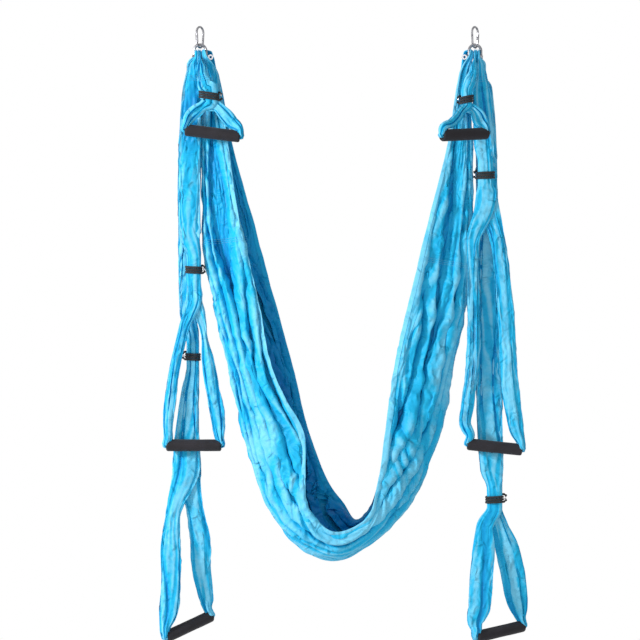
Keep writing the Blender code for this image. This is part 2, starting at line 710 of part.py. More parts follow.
def build_sheet(body):
    """The hammock sheet, with its two heads bored for the shackle pins."""
    origin = WORLD_PLACES[body.name].translation
    rings = [sheet_ring(row) for row in sheet_rows()]
    mesh = loft_mesh("sheet", rings, origin)
    sheet = add_part("hammock_sheet", mesh, Matrix.Translation(origin), body, FABRIC)
    for side in SIDES:
        _, inward = SIDES[side]
        bore = add_tool(
            side + "_sheet_bore",
            rod_mesh("sheet_bore", 2 * LOOP_INNER, SHEET_LANE + CUT_OVERRUN, BOW_SEGMENTS),
            along(X_AXIS, pin_centre(side) + X_AXIS * inward * LANES["sheet"]),
        )
        combine(sheet, bore, "DIFFERENCE")


def grip_direction(strap):
    """The way along a strap's grip, from its left end to its right end."""
    tilt, turn = math.radians(strap.tilt), math.radians(strap.turn)
    flat = math.cos(tilt)
    return Vector((flat * math.cos(turn), flat * math.sin(turn), math.sin(tilt)))


def grip_centre(strap):
    """The middle of a strap's grip."""
    return pin_centre(strap.side) + Vector((strap.lean, strap.grip_layer, -strap.drop))


def neck_station(strap, down, lean, half_width, way):
    """A section of one half of the neck: the front half if way is -1, the back half if it is 1."""
    fan = smooth_step((down - FAN_START) / (FAN_END - FAN_START))
    loop_middle = LOOP_INNER + LOOP_THICKNESS / 2
    spread = loop_middle + (NECK_INNER + NECK_SLIT / 2 - loop_middle) * fan
    outward = LOOP_THICKNESS / 2 + (NECK_OUTER - LOOP_THICKNESS / 2) * fan
    inward = LOOP_THICKNESS / 2 + (NECK_INNER - LOOP_THICKNESS / 2) * fan
    centre = pin_centre(strap.side) + Vector((lean, strap.layer * fan + way * spread, -down))
    return Station(centre, half_width, outward, inward, True)


def strap_half(strap, way):
    """The sections of half a strap, from over the pin down to the middle of its grip."""
    _, inward = SIDES[strap.side]
    lane = LANES[strap.size] * inward
    loop_middle = LOOP_INNER + LOOP_THICKNESS / 2
    half_lane, half_loop = STRAP_LANE / 2, LOOP_THICKNESS / 2
    stations = []
    for angle in LOOP_ANGLES:
        offset = Vector((lane, way * loop_middle * math.sin(angle), loop_middle * math.cos(angle)))
        stations.append(Station(pin_centre(strap.side) + offset, half_lane, half_loop, half_loop, True))
    for down in (LOOP_TAIL, (LOOP_TAIL + LANE_END) / 2, LANE_END):
        stations.append(neck_station(strap, down, lane, half_lane, way))
    tie_spare = TIE_HALF_HEIGHT + strap.tie_travel
    rows = [
        (share * strap.tie_drop, lean * strap.neck_half_width, width * strap.neck_half_width)
        for share, lean, width in strap.upper_shares
    ]
    rows.append((strap.tie_drop - tie_spare, strap.tie_lean, strap.tie_half_width))
    rows.append((min(strap.tie_drop + tie_spare, strap.split_drop), strap.tie_lean, strap.tie_half_width))
    below = strap.split_drop - strap.tie_drop
    for share, lean, width in strap.lower_shares:
        down = strap.tie_drop + share * below
        rows.append((down, lean * strap.neck_half_width, width * strap.neck_half_width))
    stations += [neck_station(strap, down, lean, width, way) for down, lean, width in rows]
    return stations + leg_stations(strap, way)


def leg_stations(strap, way):
    """A leg of the stirrup, its bend round the grip's end, and its run inside the tube."""
    run = grip_direction(strap) * way
    end = grip_centre(strap) + run * GRIP_LENGTH / 2
    split = pin_centre(strap.side) + Vector((strap.split_lean, strap.layer, -strap.split_drop))
    reach = abs(run.x) * GRIP_LENGTH / 2
    neck_offset = NECK_INNER + NECK_SLIT / 2
    stations = []
    for down, side, width in strap.right_leg_shares if way > 0 else strap.left_leg_shares:
        apart = smooth_step(down / LEGS_PART_SHARE)
        lean = strap.split_lean + (strap.lean - strap.split_lean) * down + way * side * reach
        centre = Vector(
            (
                pin_centre(strap.side).x + lean,
                split.y + (end.y - split.y) * down + way * neck_offset * (1 - apart),
                split.z + (end.z + BEND_RISE - split.z) * down,
            )
        )
        outward = NECK_OUTER + (LEG_THICKNESS - NECK_OUTER) * apart
        inner = NECK_INNER + (LEG_THICKNESS - NECK_INNER) * apart
        stations.append(Station(centre, width * strap.leg_half_width, outward, inner, False))
    core = FABRIC_IN_TUBE / 2
    rise = (Z_AXIS - run * run.z).normalized()
    for out, up, width in BEND_SHARES:
        centre = end + run * BEND_REACH * out + rise * BEND_RISE * up
        stations.append(Station(centre, core * width, core, core, False))
    return stations


def strap_ring(stations, i, way):
    """One closed section of a strap, square to its run."""
    station = stations[i]
    run = stations[min(i + 1, len(stations) - 1)].centre - stations[max(i - 1, 0)].centre
    if i == 0:
        run = Y_AXIS * way
    run.normalize()
    wide = X_AXIS - run * run.x if station.in_neck else run.cross(Y_AXIS)
    wide.normalize()
    outward = run.cross(wide) if way < 0 else wide.cross(run)
    points = []
    for j in range(STRAP_SIDES):
        angle = 2 * math.pi * j / STRAP_SIDES
        across, off = math.cos(angle), math.sin(angle)
        depth = station.outward if off > 0 else station.inward
        pleat = 1 - FOLD_DEPTH_SHARE if j % 2 and off > 0 and station.half_width > STRAP_LANE else 1
        points.append(station.centre + wide * station.half_width * across + outward * depth * off * pleat)
    return points


def build_strap(strap, body):
    """A strap: one closed band of gathered fabric over the pin and through the grip's tube."""
    name = f"{strap.side}_{strap.size}"
    origin = pin_centre(strap.side)
    front, back = strap_half(strap, -1), strap_half(strap, 1)
    half_turn = STRAP_SIDES // 2
    rings = [strap_ring(front, i, -1) for i in range(len(front))]
    for i in range(len(back) - 1, 0, -1):
        ring = strap_ring(back, i, 1)
        rings.append(ring[half_turn:] + ring[:half_turn])
    pivot = add_pivot(name + "_pivot", Matrix.Translation(origin), body)
    mesh = loft_mesh(name, rings, origin, half_turn)
    add_part(name + "_strap", mesh, Matrix.Translation(origin), pivot, FABRIC)
    build_grip(strap, name, pivot)
    build_tie(strap, name, pivot)
    return pivot


def build_grip(strap, name, strap_pivot):
    """The foam grip, round at its ends, and the core tube inside it."""
    place = along(grip_direction(strap), grip_centre(strap))
    pivot = add_pivot(name + "_grip_pivot", place, strap_pivot)
    outer, half = GRIP_DIAMETER / 2, GRIP_LENGTH / 2
    foam_bore = TUBE_DIAMETER / 2 + RUNNING_GAP
    soft = GRIP_ROUND * (1 - math.sqrt(0.5))
    grip_profile = (
        (outer - GRIP_ROUND, half),
        (outer - soft, half - soft),
        (outer, half - GRIP_ROUND),
        (outer, GRIP_ROUND - half),
        (outer - soft, soft - half),
        (outer - GRIP_ROUND, -half),
        (foam_bore, -half),
        (foam_bore, half),
    )
    turned_part(name + "_grip", grip_profile, place, pivot, FOAM)
    tube_half = half - TUBE_RECESS
    tube_profile = (
        (TUBE_DIAMETER / 2, tube_half),
        (TUBE_DIAMETER / 2, -tube_half),
        (TUBE_BORE / 2, -tube_half),
        (TUBE_BORE / 2, tube_half),
    )
    turned_part(name + "_core_tube", tube_profile, place, pivot, PLASTIC)


def tie_route(strap):
    """The elastic's route round the neck, from the crimp, down its turns and back to the crimp."""
    chord = math.cos(math.pi / TIE_POINTS_A_TURN)
    half_width = (strap.tie_half_width + TIE_GAP + TIE_CORD / 2) / chord
    half_depth = (NECK_DEPTH + TIE_GAP + TIE_CORD / 2) / chord
    side = strap.crimp_side
    crimp_x = side * (half_width + TIE_CORD / 2 + CRIMP_GAP + CRIMP_DIAMETER / 2)
    crimp_end = CRIMP_LENGTH / 2 + RUNNING_GAP
    top = TIE_TURNS * TIE_PITCH / 2
    last_angle = 2 * math.pi * TIE_TURNS - TIE_LEAD_ANGLE
    count = TIE_TURNS * TIE_POINTS_A_TURN
    turns = []
    for i in range(count + 1):
        angle = TIE_LEAD_ANGLE + (last_angle - TIE_LEAD_ANGLE) * i / count
        height = top - TIE_PITCH * angle / (2 * math.pi)
        turns.append(Vector((side * half_width * math.cos(angle), half_depth * math.sin(angle), height)))
    lead = [
        Vector((crimp_x, 0, crimp_end)),
        Vector((crimp_x, 0, crimp_end + TIE_CORD)),
        Vector(((crimp_x + turns[0].x) / 2, turns[0].y / 3, top)),
    ]
    tail = [Vector((point.x, -point.y, -point.z)) for point in reversed(lead)]
    return lead + turns + tail, crimp_x


def least_gap(route, diameter):
    """The least gap between a cord's surface and itself, leaving out its own next points."""
    near = 2 * diameter
    lengths = [0]
    for here, there in zip(route, route[1:]):
        lengths.append(lengths[-1] + (there - here).length)
    return min(
        (route[i] - route[j]).length - diameter
        for i in range(len(route))
        for j in range(i)
        if lengths[i] - lengths[j] > near
    )


def build_tie(strap, name, strap_pivot):
    """The elastic wound round the neck, and the crimp that joins its two ends."""
    centre = pin_centre(strap.side) + Vector((strap.tie_lean, strap.layer, -strap.tie_drop))
    place = Matrix.Translation(centre)
    pivot = add_pivot(name + "_tie_pivot", place, strap_pivot)
    route, crimp_x = tie_route(strap)
    print(f"{name}_tie: least gap to itself {least_gap(route, TIE_CORD) * MILLIMETRES:.2f} mm")
    add_part(name + "_tie", wire_curve(name + "_tie", route, TIE_CORD, 1), place, pivot, ELASTIC)
    mesh = rod_mesh("crimp", CRIMP_DIAMETER, CRIMP_LENGTH, CRIMP_SEGMENTS)
    crimp = add_part(name + "_crimp", mesh, Matrix.Translation(centre + X_AXIS * crimp_x), pivot, STEEL)
    edge = crimp.modifiers.new("edge", "BEVEL")
    edge.width = CRIMP_EDGE
    edge.segments = 1


def main():
    """Builds the hooks, then what hangs on them."""
    for side in SIDES:
        build_hook(side)
    swing_line = Vector((0, 0, HOOK_LOW_LINE))
    body = add_pivot("hammock_pivot", Matrix.Translation(swing_line))
    for side in SIDES:
        build_shackle(side, body)
        build_shackle_pin(side, body)
    build_sheet(body)
    pivots = {}
    for strap in sorted(STRAPS, key=lambda item: item.size != "middle"):
        parent = pivots[strap.side] if strap.size == "short" else body
        pivot = build_strap(strap, parent)
        if strap.size == "middle":
            pivots[strap.side] = pivot


main()
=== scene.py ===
"""Looks of the aerial hammock: gathered cloth, foam grips, elastic ties and plated fittings.

All sizes are in metres in the part's own frame: +Z is up, +Y is away from the front, and the
origin is the seat of the left snap hook.
"""

from __future__ import annotations

import json
import logging
import math
from dataclasses import dataclass, field, replace
from enum import Enum

import bpy
import numpy as np
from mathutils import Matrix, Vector

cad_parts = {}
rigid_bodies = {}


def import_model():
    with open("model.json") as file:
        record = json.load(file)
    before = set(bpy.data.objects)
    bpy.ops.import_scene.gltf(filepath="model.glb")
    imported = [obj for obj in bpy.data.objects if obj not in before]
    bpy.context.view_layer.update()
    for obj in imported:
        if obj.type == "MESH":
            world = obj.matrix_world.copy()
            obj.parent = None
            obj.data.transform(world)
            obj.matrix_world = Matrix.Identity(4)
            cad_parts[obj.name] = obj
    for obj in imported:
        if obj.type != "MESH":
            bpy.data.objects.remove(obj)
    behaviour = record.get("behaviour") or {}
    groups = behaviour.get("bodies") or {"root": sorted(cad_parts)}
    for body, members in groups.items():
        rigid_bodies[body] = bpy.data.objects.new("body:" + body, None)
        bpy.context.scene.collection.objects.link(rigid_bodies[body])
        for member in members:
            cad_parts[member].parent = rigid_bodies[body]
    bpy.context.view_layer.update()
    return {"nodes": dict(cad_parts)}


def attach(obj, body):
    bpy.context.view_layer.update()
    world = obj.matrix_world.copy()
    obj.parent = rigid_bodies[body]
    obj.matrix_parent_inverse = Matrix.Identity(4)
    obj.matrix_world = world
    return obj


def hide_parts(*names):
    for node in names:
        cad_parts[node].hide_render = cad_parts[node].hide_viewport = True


LOG = logging.getLogger("aerial_hammock")
TAU = 2 * math.pi
X_AXIS, Y_AXIS, Z_AXIS = np.eye(3)
# Flat width that the way once round an elastic is given, which its braid is drawn on
CORD_FLAT_WIDTH = 0.01

Socket = bpy.types.NodeSocket
Material = bpy.types.Material
Colour = tuple[float, float, float]
Stop = tuple[float, Colour]
StitchLine = tuple[np.ndarray, np.ndarray]

# What the numbers in a row of the sheet are
OUTER_LINE, FRONT_RIM, BACK_RIM, DEPTH, FOLD_SIZE = (
    slice(0, 3), slice(3, 6), slice(6, 9), slice(9, 12), slice(12, 13)
)
# What the numbers in a row of a strap are, with the centre's height by itself too
CENTRE, HEIGHT, HALF_WIDTH, OUTWARD, INWARD, NECK = (
    slice(0, 3), slice(2, 3), slice(3, 4), slice(4, 5), slice(5, 6), slice(6, 7)
)

for leftover in list(bpy.data.objects):
    bpy.data.objects.remove(leftover, do_unlink=True)
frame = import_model()


class Side(Enum):
    """The two hanging points."""

    LEFT = "left"
    RIGHT = "right"

    @property
    def inward(self) -> int:
        """Which way along X the hammock's middle lies."""
        return 1 if self is Side.LEFT else -1


class Lane(Enum):
    """The cloth bands that share a shackle pin, from its outer ear inwards."""

    MIDDLE = "middle"
    LONG = "long"
    SHORT = "short"
    SHEET = "sheet"


@dataclass(frozen=True)
class Layout:
    """Sizes that the cloth takes from the hardware that carries it."""

    hang_spacing: float = 0.650
    pin_height: float = -0.0690
    pin_radius: float = 0.0035
    loop_gap: float = 0.0004
    loop_thickness: float = 0.0140
    loop_puff: float = 0.0055
    shackle_inner_width: float = 0.022
    lane_gap: float = 0.0008
    strap_lane: float = 0.0036
    sheet_lane: float = 0.0070

    @property
    def loop_middle(self) -> float:
        """Distance from the pin's axis to the middle of the cloth looped over it."""
        return self.pin_radius + self.loop_gap + self.loop_thickness / 2

    def pin(self, side: Side) -> np.ndarray:
        """The middle of a side's shackle pin."""
        return np.array((0.0 if side is Side.LEFT else self.hang_spacing, 0.0, self.pin_height))

    def lane_width(self, lane: Lane) -> float:
        """The width of one lane on the pin."""
        return self.sheet_lane if lane is Lane.SHEET else self.strap_lane

    def lane_offset(self, lane: Lane) -> float:
        """The middle of a lane, measured inwards from the middle of the pin.

        Args:
            lane: The lane.

        Returns:
            Its place.
        """
        edge = -self.shackle_inner_width / 2 + self.lane_gap
        for other in Lane:
            if other is lane:
                break
            edge += self.lane_width(other) + self.lane_gap
        return edge + self.lane_width(lane) / 2


LAYOUT = Layout()


def smooth_step(share: np.ndarray | float) -> np.ndarray | float:
    """Eases from 0 to 1.

    Args:
        share: Position between the two ends, clamped to 0 and 1.

    Returns:
        The eased position.
    """
    clamped = np.clip(share, 0, 1)
    return clamped * clamped * (3 - 2 * clamped)


def unit(vectors: np.ndarray) -> np.ndarray:
    """Vectors brought to length 1 along their last axis."""
    length = np.linalg.norm(vectors, axis=-1, keepdims=True)
    return vectors / np.maximum(length, 1e-12)


def curve_through(
    knots: np.ndarray, values: np.ndarray, places: np.ndarray, run_on: float = 2.5, turn_back: float = 0.8
) -> np.ndarray:
    """A smooth curve through rows of values, with tangents that suit uneven knots.

    Args:
        knots: Rising parameter of each row.
        values: One row of numbers for each knot.
        places: Parameters to read the curve at.
        run_on: Steepest tangent where a value runs on, against the gentler slope beside it.
        turn_back: Steepest tangent where a value turns back, against the same slope.

    Returns:
        One row of numbers for each place.
    """
    gaps = np.diff(knots)[:, None]
    slopes = np.diff(values, axis=0) / gaps
    tangents = np.empty_like(values)
    tangents[0], tangents[-1] = slopes[0], slopes[-1]
    tangents[1:-1] = (slopes[:-1] * gaps[1:] + slopes[1:] * gaps[:-1]) / (gaps[1:] + gaps[:-1])
    same_way = slopes[:-1] * slopes[1:] > 0
    gentler = np.minimum(np.abs(slopes[:-1]), np.abs(slopes[1:]))
    steepest = np.where(same_way, run_on, turn_back) * gentler
    tangents[1:-1] = np.clip(tangents[1:-1], -steepest, steepest)
    i = np.clip(np.searchsorted(knots, places, side="right") - 1, 0, len(knots) - 2)
    gap = gaps[i]
    t = ((places - knots[i]) / gap[:, 0])[:, None]
    t2, t3 = t * t, t * t * t
    return (
        values[i] * (2 * t3 - 3 * t2 + 1)
        + tangents[i] * gap * (t3 - 2 * t2 + t)
        + values[i + 1] * (3 * t2 - 2 * t3)
        + tangents[i + 1] * gap * (t3 - t2)
    )


def length_along(points: np.ndarray) -> np.ndarray:
    """Distance along a run of points to each of them, starting from 0."""
    return np.concatenate(([0], np.cumsum(np.linalg.norm(np.diff(points, axis=0), axis=1))))


def rows_through(keys: np.ndarray, spots: np.ndarray, steps: list[float]) -> tuple[np.ndarray, np.ndarray]:
    """Smooth rows through given ones, evenly spaced between each two.

    Args:
        keys: The given rows.
        spots: The point of each that distances are measured between.
        steps: The longest step between each two.

    Returns:
        The smooth rows, and their distance along the spots.
    """
    knots = length_along(spots)
    gaps = np.linalg.norm(np.diff(spots, axis=0), axis=1)
    places = [0.0]
    for start, gap, step in zip(knots, gaps, steps):
        count = math.ceil(gap / step)
        places.extend(start + gap * (k + 1) / count for k in range(count))
    along = np.array(places)
    return curve_through(knots, keys, along), along


class SmoothNoise:
    """Seeded noise over a plane, from random values on a square lattice."""

    def __init__(self, seed: int, size: int = 64) -> None:
        """Draws the lattice.

        Args:
            seed: Seed of the random values, so that each run gives the same cloth.
            size: Points along each side of the lattice before it repeats.
        """
        self.size = size
        self.values = np.random.default_rng(seed).uniform(-1, 1, (size, size))

    def at(self, x: np.ndarray, y: np.ndarray, faceted: bool = False) -> np.ndarray:
        """Noise from -1 to 1.

        Args:
            x: First coordinate, in lattice steps.
            y: Second coordinate, in lattice steps.
            faceted: Whether it runs straight between lattice points, which leaves flat faces.

        Returns:
            One value for each pair of coordinates.
        """
        x, y = np.broadcast_arrays(x, y)
        column, row = np.floor(x).astype(int), np.floor(y).astype(int)
        across, down = x - column, y - row
        if not faceted:
            across, down = smooth_step(across), smooth_step(down)
        column, row = column % self.size, row % self.size
        after, below = (column + 1) % self.size, (row + 1) % self.size
        upper = self.values[row, column] * (1 - across) + self.values[row, after] * across
        lower = self.values[below, column] * (1 - across) + self.values[below, after] * across
        return upper * (1 - down) + lower * down


@dataclass(frozen=True)
class Folds:
    """One set of long folds that run down a gathered cloth.

    The ridges are wide and round with narrow slits between them. Behind each slit the cloth laps
    back under its ridges, as it does when a wide cloth is gathered tight.
    """

    count: int
    seed: int
    depth: float = 1.0
    wander: float = 0.9
    finer_wander_share: float = 0.25
    lean: float = 0.10
    unevenness: float = 0.45
    run: float = 0.45
    finer_run_share: float = 0.4
    uneven_run_share: float = 0.5
    sweep: float = 0.0
    sweep_middle: float = 1.28
    sweep_reach: float = 0.26
    lapped: bool = True
    depth_to_pitch: float = 0.7
    tilt_share: float = 0.0
    tilt_noise_share: float = 0.6
    tilt_rise_share: float = 0.35
    round_samples: int = 101
    lapped_samples: int = 241
    # Half a fold, from the middle of its valley to the middle of its ridge: sideways place as a
    # share of the pitch, then depth as a share of the fold's depth
    profile_shares: tuple = (
        (0.00, 1.00), (0.20, 1.00), (0.36, 0.97), (0.41, 0.90), (0.36, 0.82), (0.22, 0.78),
        (0.10, 0.68), (0.065, 0.45), (0.085, 0.18), (0.16, 0.05), (0.30, 0.00), (0.50, 0.00),
    )

    def profile(self) -> tuple[np.ndarray, np.ndarray, np.ndarray]:
        """One whole fold, from valley to valley.

        Returns:
            Share of the fold's cloth, sideways place and depth share of each point.
        """
        if not self.lapped:
            turn = np.linspace(0, 1, self.round_samples)
            return turn, turn, 0.5 + 0.5 * np.cos(TAU * turn)
        half = np.array(self.profile_shares)
        whole = np.concatenate((half, (half[-2::-1] * (-1, 1)) + (1, 0)))
        scale = np.array((1, self.depth_to_pitch))
        knots = length_along(whole * scale)
        line = curve_through(knots, whole, np.linspace(0, knots[-1], self.lapped_samples))
        length = length_along(line * scale)
        return length / length[-1], line[:, 0], line[:, 1]

    def measure(
        self, across: np.ndarray, along: np.ndarray, facing: np.ndarray | float = 0.0
    ) -> tuple[np.ndarray, np.ndarray, np.ndarray]:
        """Where each point of the cloth lies on its fold.

        Args:
            across: Share of the cloth's width, 0 to 1.
            along: Distance along the cloth.
            facing: Which rim the ridges tilt towards, from -1 for the first to 1 for the last.

        Returns:
            The sideways shift as a share of the width, the depth share below the ridge line,
            and how near the point is to a ridge.
        """
        # A number added to a coordinate only moves its reading to another part of the noise
        noise = SmoothNoise(self.seed)
        inside = smooth_step(np.minimum(across, across.max() - across) * self.count)
        drift = noise.at(across * 3 + 5, along / self.run) * self.wander
        finer = noise.at(across * 7 + 31, along / (self.run * self.finer_run_share))
        drift = drift + finer * self.wander * self.finer_wander_share
        drift = drift + self.sweep * np.exp(-(((along - self.sweep_middle) / self.sweep_reach) ** 2))
        phase = 0.5 + self.count * across + drift * inside
        turn = phase % 1
        share, place, depth = self.profile()
        sideways, deep = np.interp(turn, share, place), np.interp(turn, share, depth)
        uneven = noise.at(phase + 11, along / (self.run * self.uneven_run_share) + 7)
        size = 1 - self.unevenness * smooth_step(0.5 + 0.8 * uneven)
        tilt = self.lean * noise.at(phase * 0.6 + 3, along / self.run + 19)
        ruffle = noise.at(phase * 0.9 + 41, along / self.run + 29)
        slope = self.tilt_share * (facing + self.tilt_noise_share * ruffle)
        raised = (1 - deep) * (self.tilt_rise_share * np.abs(slope) + slope * (sideways - 0.5))
        return (sideways - turn + tilt * deep) / self.count, (deep + raised) * size, 1 - deep


@dataclass(frozen=True)
class Crinkles:
    """Small creases that lie over the folds of thin cloth, some long and some short and crossed."""

    height: float
    length: float
    seed: int
    slant: float = 0.5
    long_share: float = 0.6
    calm_share: float = 0.35

    def rise(self, across: np.ndarray, along: np.ndarray) -> np.ndarray:
        """Height of the creases.

        Args:
            across: Distance across the flat cloth.
            along: Distance along the flat cloth.

        Returns:
            The rise at each point, in metres.
        """
        # Each reading has its own stretch, slant and place in the noise
        noise, second = SmoothNoise(self.seed), SmoothNoise(self.seed + 1)
        x, y = across / self.length, along / self.length
        x, y = x + 0.5 * second.at(x * 0.7, y * 0.6 + 3), y + 0.5 * noise.at(x * 0.6 + 8, y * 0.7)
        first = 1 - 2 * np.abs(noise.at(x + y * self.slant, y * 0.55 - x * 0.2, True))
        other = 1 - 2 * np.abs(second.at(x * 1.7 - y * self.slant * 1.3, y * 0.9 + x * 0.35, True))
        patches = 0.5 + 0.5 * second.at(x * 0.23 + 9, y * 0.21 + 4)
        mixed = self.long_share * first + (1 - self.long_share) * other
        return self.height * mixed * (self.calm_share + (1 - self.calm_share) * patches)


@dataclass
class ClothGrid:
    """Points of a cloth, row by row along it, with what its material needs to know, such as how near to a
    fold's top each point is, which the nylon paints shade and light by.
    """

    points: np.ndarray
    flat: np.ndarray
    # How near to a fold's top each point is; the nylon paints shade where it is low and light where it is
    # high
    ridge: np.ndarray

    def normals(self) -> np.ndarray:
        """Unit normals of the grid, by differences between its neighbours.

        Returns:
            One normal for each point.
        """
        down = np.gradient(self.points, axis=0)
        over = np.gradient(self.points, axis=1)
        return unit(np.cross(over, down))

    def normals_towards(self, way: np.ndarray) -> np.ndarray:
        """Unit normals of the grid, on the side that a direction points to.

        Args:
            way: The direction at each point.

        Returns:
            One normal for each point.
        """
        normals = self.normals()
        return normals * np.sign((normals * way).sum(-1).mean())

    def stitch_lines(self, row: int, span: slice = slice(None), lift: float = 0.0003) -> list[StitchLine]:
        """Lines for three rows of stitches on the outer face.

        Args:
            row: The middle row of the three.
            span: The columns that they cross.
            lift: Height of the thread's seat above the cloth.

        Returns:
            Points and normals of each line.
        """
        outward = self.normals_towards(self.points - self.points.mean(axis=1, keepdims=True))
        return [
            (self.points[i, span] + outward[i, span] * lift, outward[i, span])
            for i in (row - 1, row, row + 1)
        ]

    def area(self) -> float:
        """Area of the cloth.

        Returns:
            The area in square metres.
        """
        first = self.points[1:, :-1] - self.points[:-1, :-1]
        second = self.points[:-1, 1:] - self.points[:-1, :-1]
        third = self.points[1:, :-1] - self.points[1:, 1:]
        fourth = self.points[:-1, 1:] - self.points[1:, 1:]
        halves = np.linalg.norm((np.cross(first, second), np.cross(third, fourth)), axis=-1)
        return float(halves.sum() / 2)

    def build(self, name: str, material: Material, closed: bool = False) -> bpy.types.Object:
        """Makes the mesh object.

        Args:
            name: Name of the piece.
            material: Its finish.
            closed: Whether the last column joins the first.

        Returns:
            The new object.
        """
        faces = grid_faces(*self.points.shape[:2], closed)
        mesh = mesh_from_arrays(name, self.points.reshape(-1, 3), faces, self.flat.reshape(-1, 2))
        # The tone that the nylon paints shade in the folds and light on their tops by
        ridge = mesh.attributes.new("fold_painted_shading", "FLOAT", "POINT")
        ridge.data.foreach_set("value", self.ridge.astype(np.float32).ravel())
        return add_piece(name, mesh, material)


def grid_faces(rows: int, columns: int, closed: bool) -> np.ndarray:
    """Faces between the points of a grid.

    Args:
        rows: How many rows it has.
        columns: How many points are in a row.
        closed: Whether the last column joins the first.

    Returns:
        Four point numbers for each face.
    """
    index = np.arange(rows * columns).reshape(rows, columns)
    before = index if closed else index[:, :-1]
    after = np.roll(index, -1, axis=1) if closed else index[:, 1:]
    return np.stack((before[:-1], after[:-1], after[1:], before[1:]), axis=-1).reshape(-1, 4)


def mesh_from_arrays(
    name: str, points: np.ndarray, faces: np.ndarray, flat: np.ndarray | None = None
) -> bpy.types.Mesh:
    """A smooth mesh from arrays of points and of equal sided faces.

    Args:
        name: Name of the mesh.
        points: One point a row.
        faces: One face a row, as point numbers.
        flat: Place of each point on the flat cloth, where the material needs it.

    Returns:
        The mesh.
    """
    mesh = bpy.data.meshes.new(name)
    count, sides = faces.shape
    mesh.vertices.add(len(points))
    mesh.vertices.foreach_set("co", np.asarray(points, np.float32).ravel())
    mesh.loops.add(count * sides)
    mesh.loops.foreach_set("vertex_index", faces.astype(np.int32).ravel())
    mesh.polygons.add(count)
    mesh.polygons.foreach_set("loop_start", np.arange(0, count * sides, sides, dtype=np.int32))
    mesh.update(calc_edges=True)
    mesh.shade_smooth()
    if flat is not None:
        layer = mesh.uv_layers.new(name="flat")
        layer.data.foreach_set("uv", flat[faces.ravel()].astype(np.float32).ravel())
    return mesh


def add_piece(name: str, mesh: bpy.types.Mesh, material: Material) -> bpy.types.Object:
    """Puts a mesh in the scene under its material.

    Args:
        name: Name of the piece.
        mesh: Its shape, in the part's frame.
        material: Its finish.

    Returns:
        The new object.
    """
    mesh.materials.append(material)
    piece = bpy.data.objects.new(name, mesh)
    bpy.context.scene.collection.objects.link(piece)
    return piece


def rings_along(route: np.ndarray, sides: int) -> np.ndarray:
    """Rings of directions that stand square to a route without twisting.

    Args:
        route: Points of the centre line.
        sides: Points round each ring.

    Returns:
        One ring of unit directions for each point.
    """
    run = unit(np.gradient(route, axis=0))
    aside = np.empty_like(run)
    # The first ring starts from an axis that the route doesn't run along
    start = Z_AXIS if abs(run[0] @ Z_AXIS) < 0.8 else Y_AXIS
    aside[0] = unit(start - run[0] * (run[0] @ start))
    for i in range(1, len(run)):
        aside[i] = unit(aside[i - 1] - run[i] * (run[i] @ aside[i - 1]))
    other = np.cross(run, aside)
    angles = np.linspace(0, TAU, sides, endpoint=False)[None, :, None]
    return aside[:, None] * np.cos(angles) + other[:, None] * np.sin(angles)


def fine_sink(fine: np.ndarray, ridge: np.ndarray, valley_share: float = 0.15) -> np.ndarray:
    """How deep the fine folds are at each point, least in the valleys of the broad ones."""
    return fine * (valley_share + (1 - valley_share) * ridge)


def painted_fold_shading(depth: np.ndarray, fine: np.ndarray, broad_share: float = 0.72) -> np.ndarray:
    """How near each point is to the top of its broad and fine folds, the tone that the nylon paints shade in
    the folds and light on their tops by.
    """
    return np.clip(broad_share * (1 - depth) + (1 - broad_share) * (1 - fine), 0, 1)


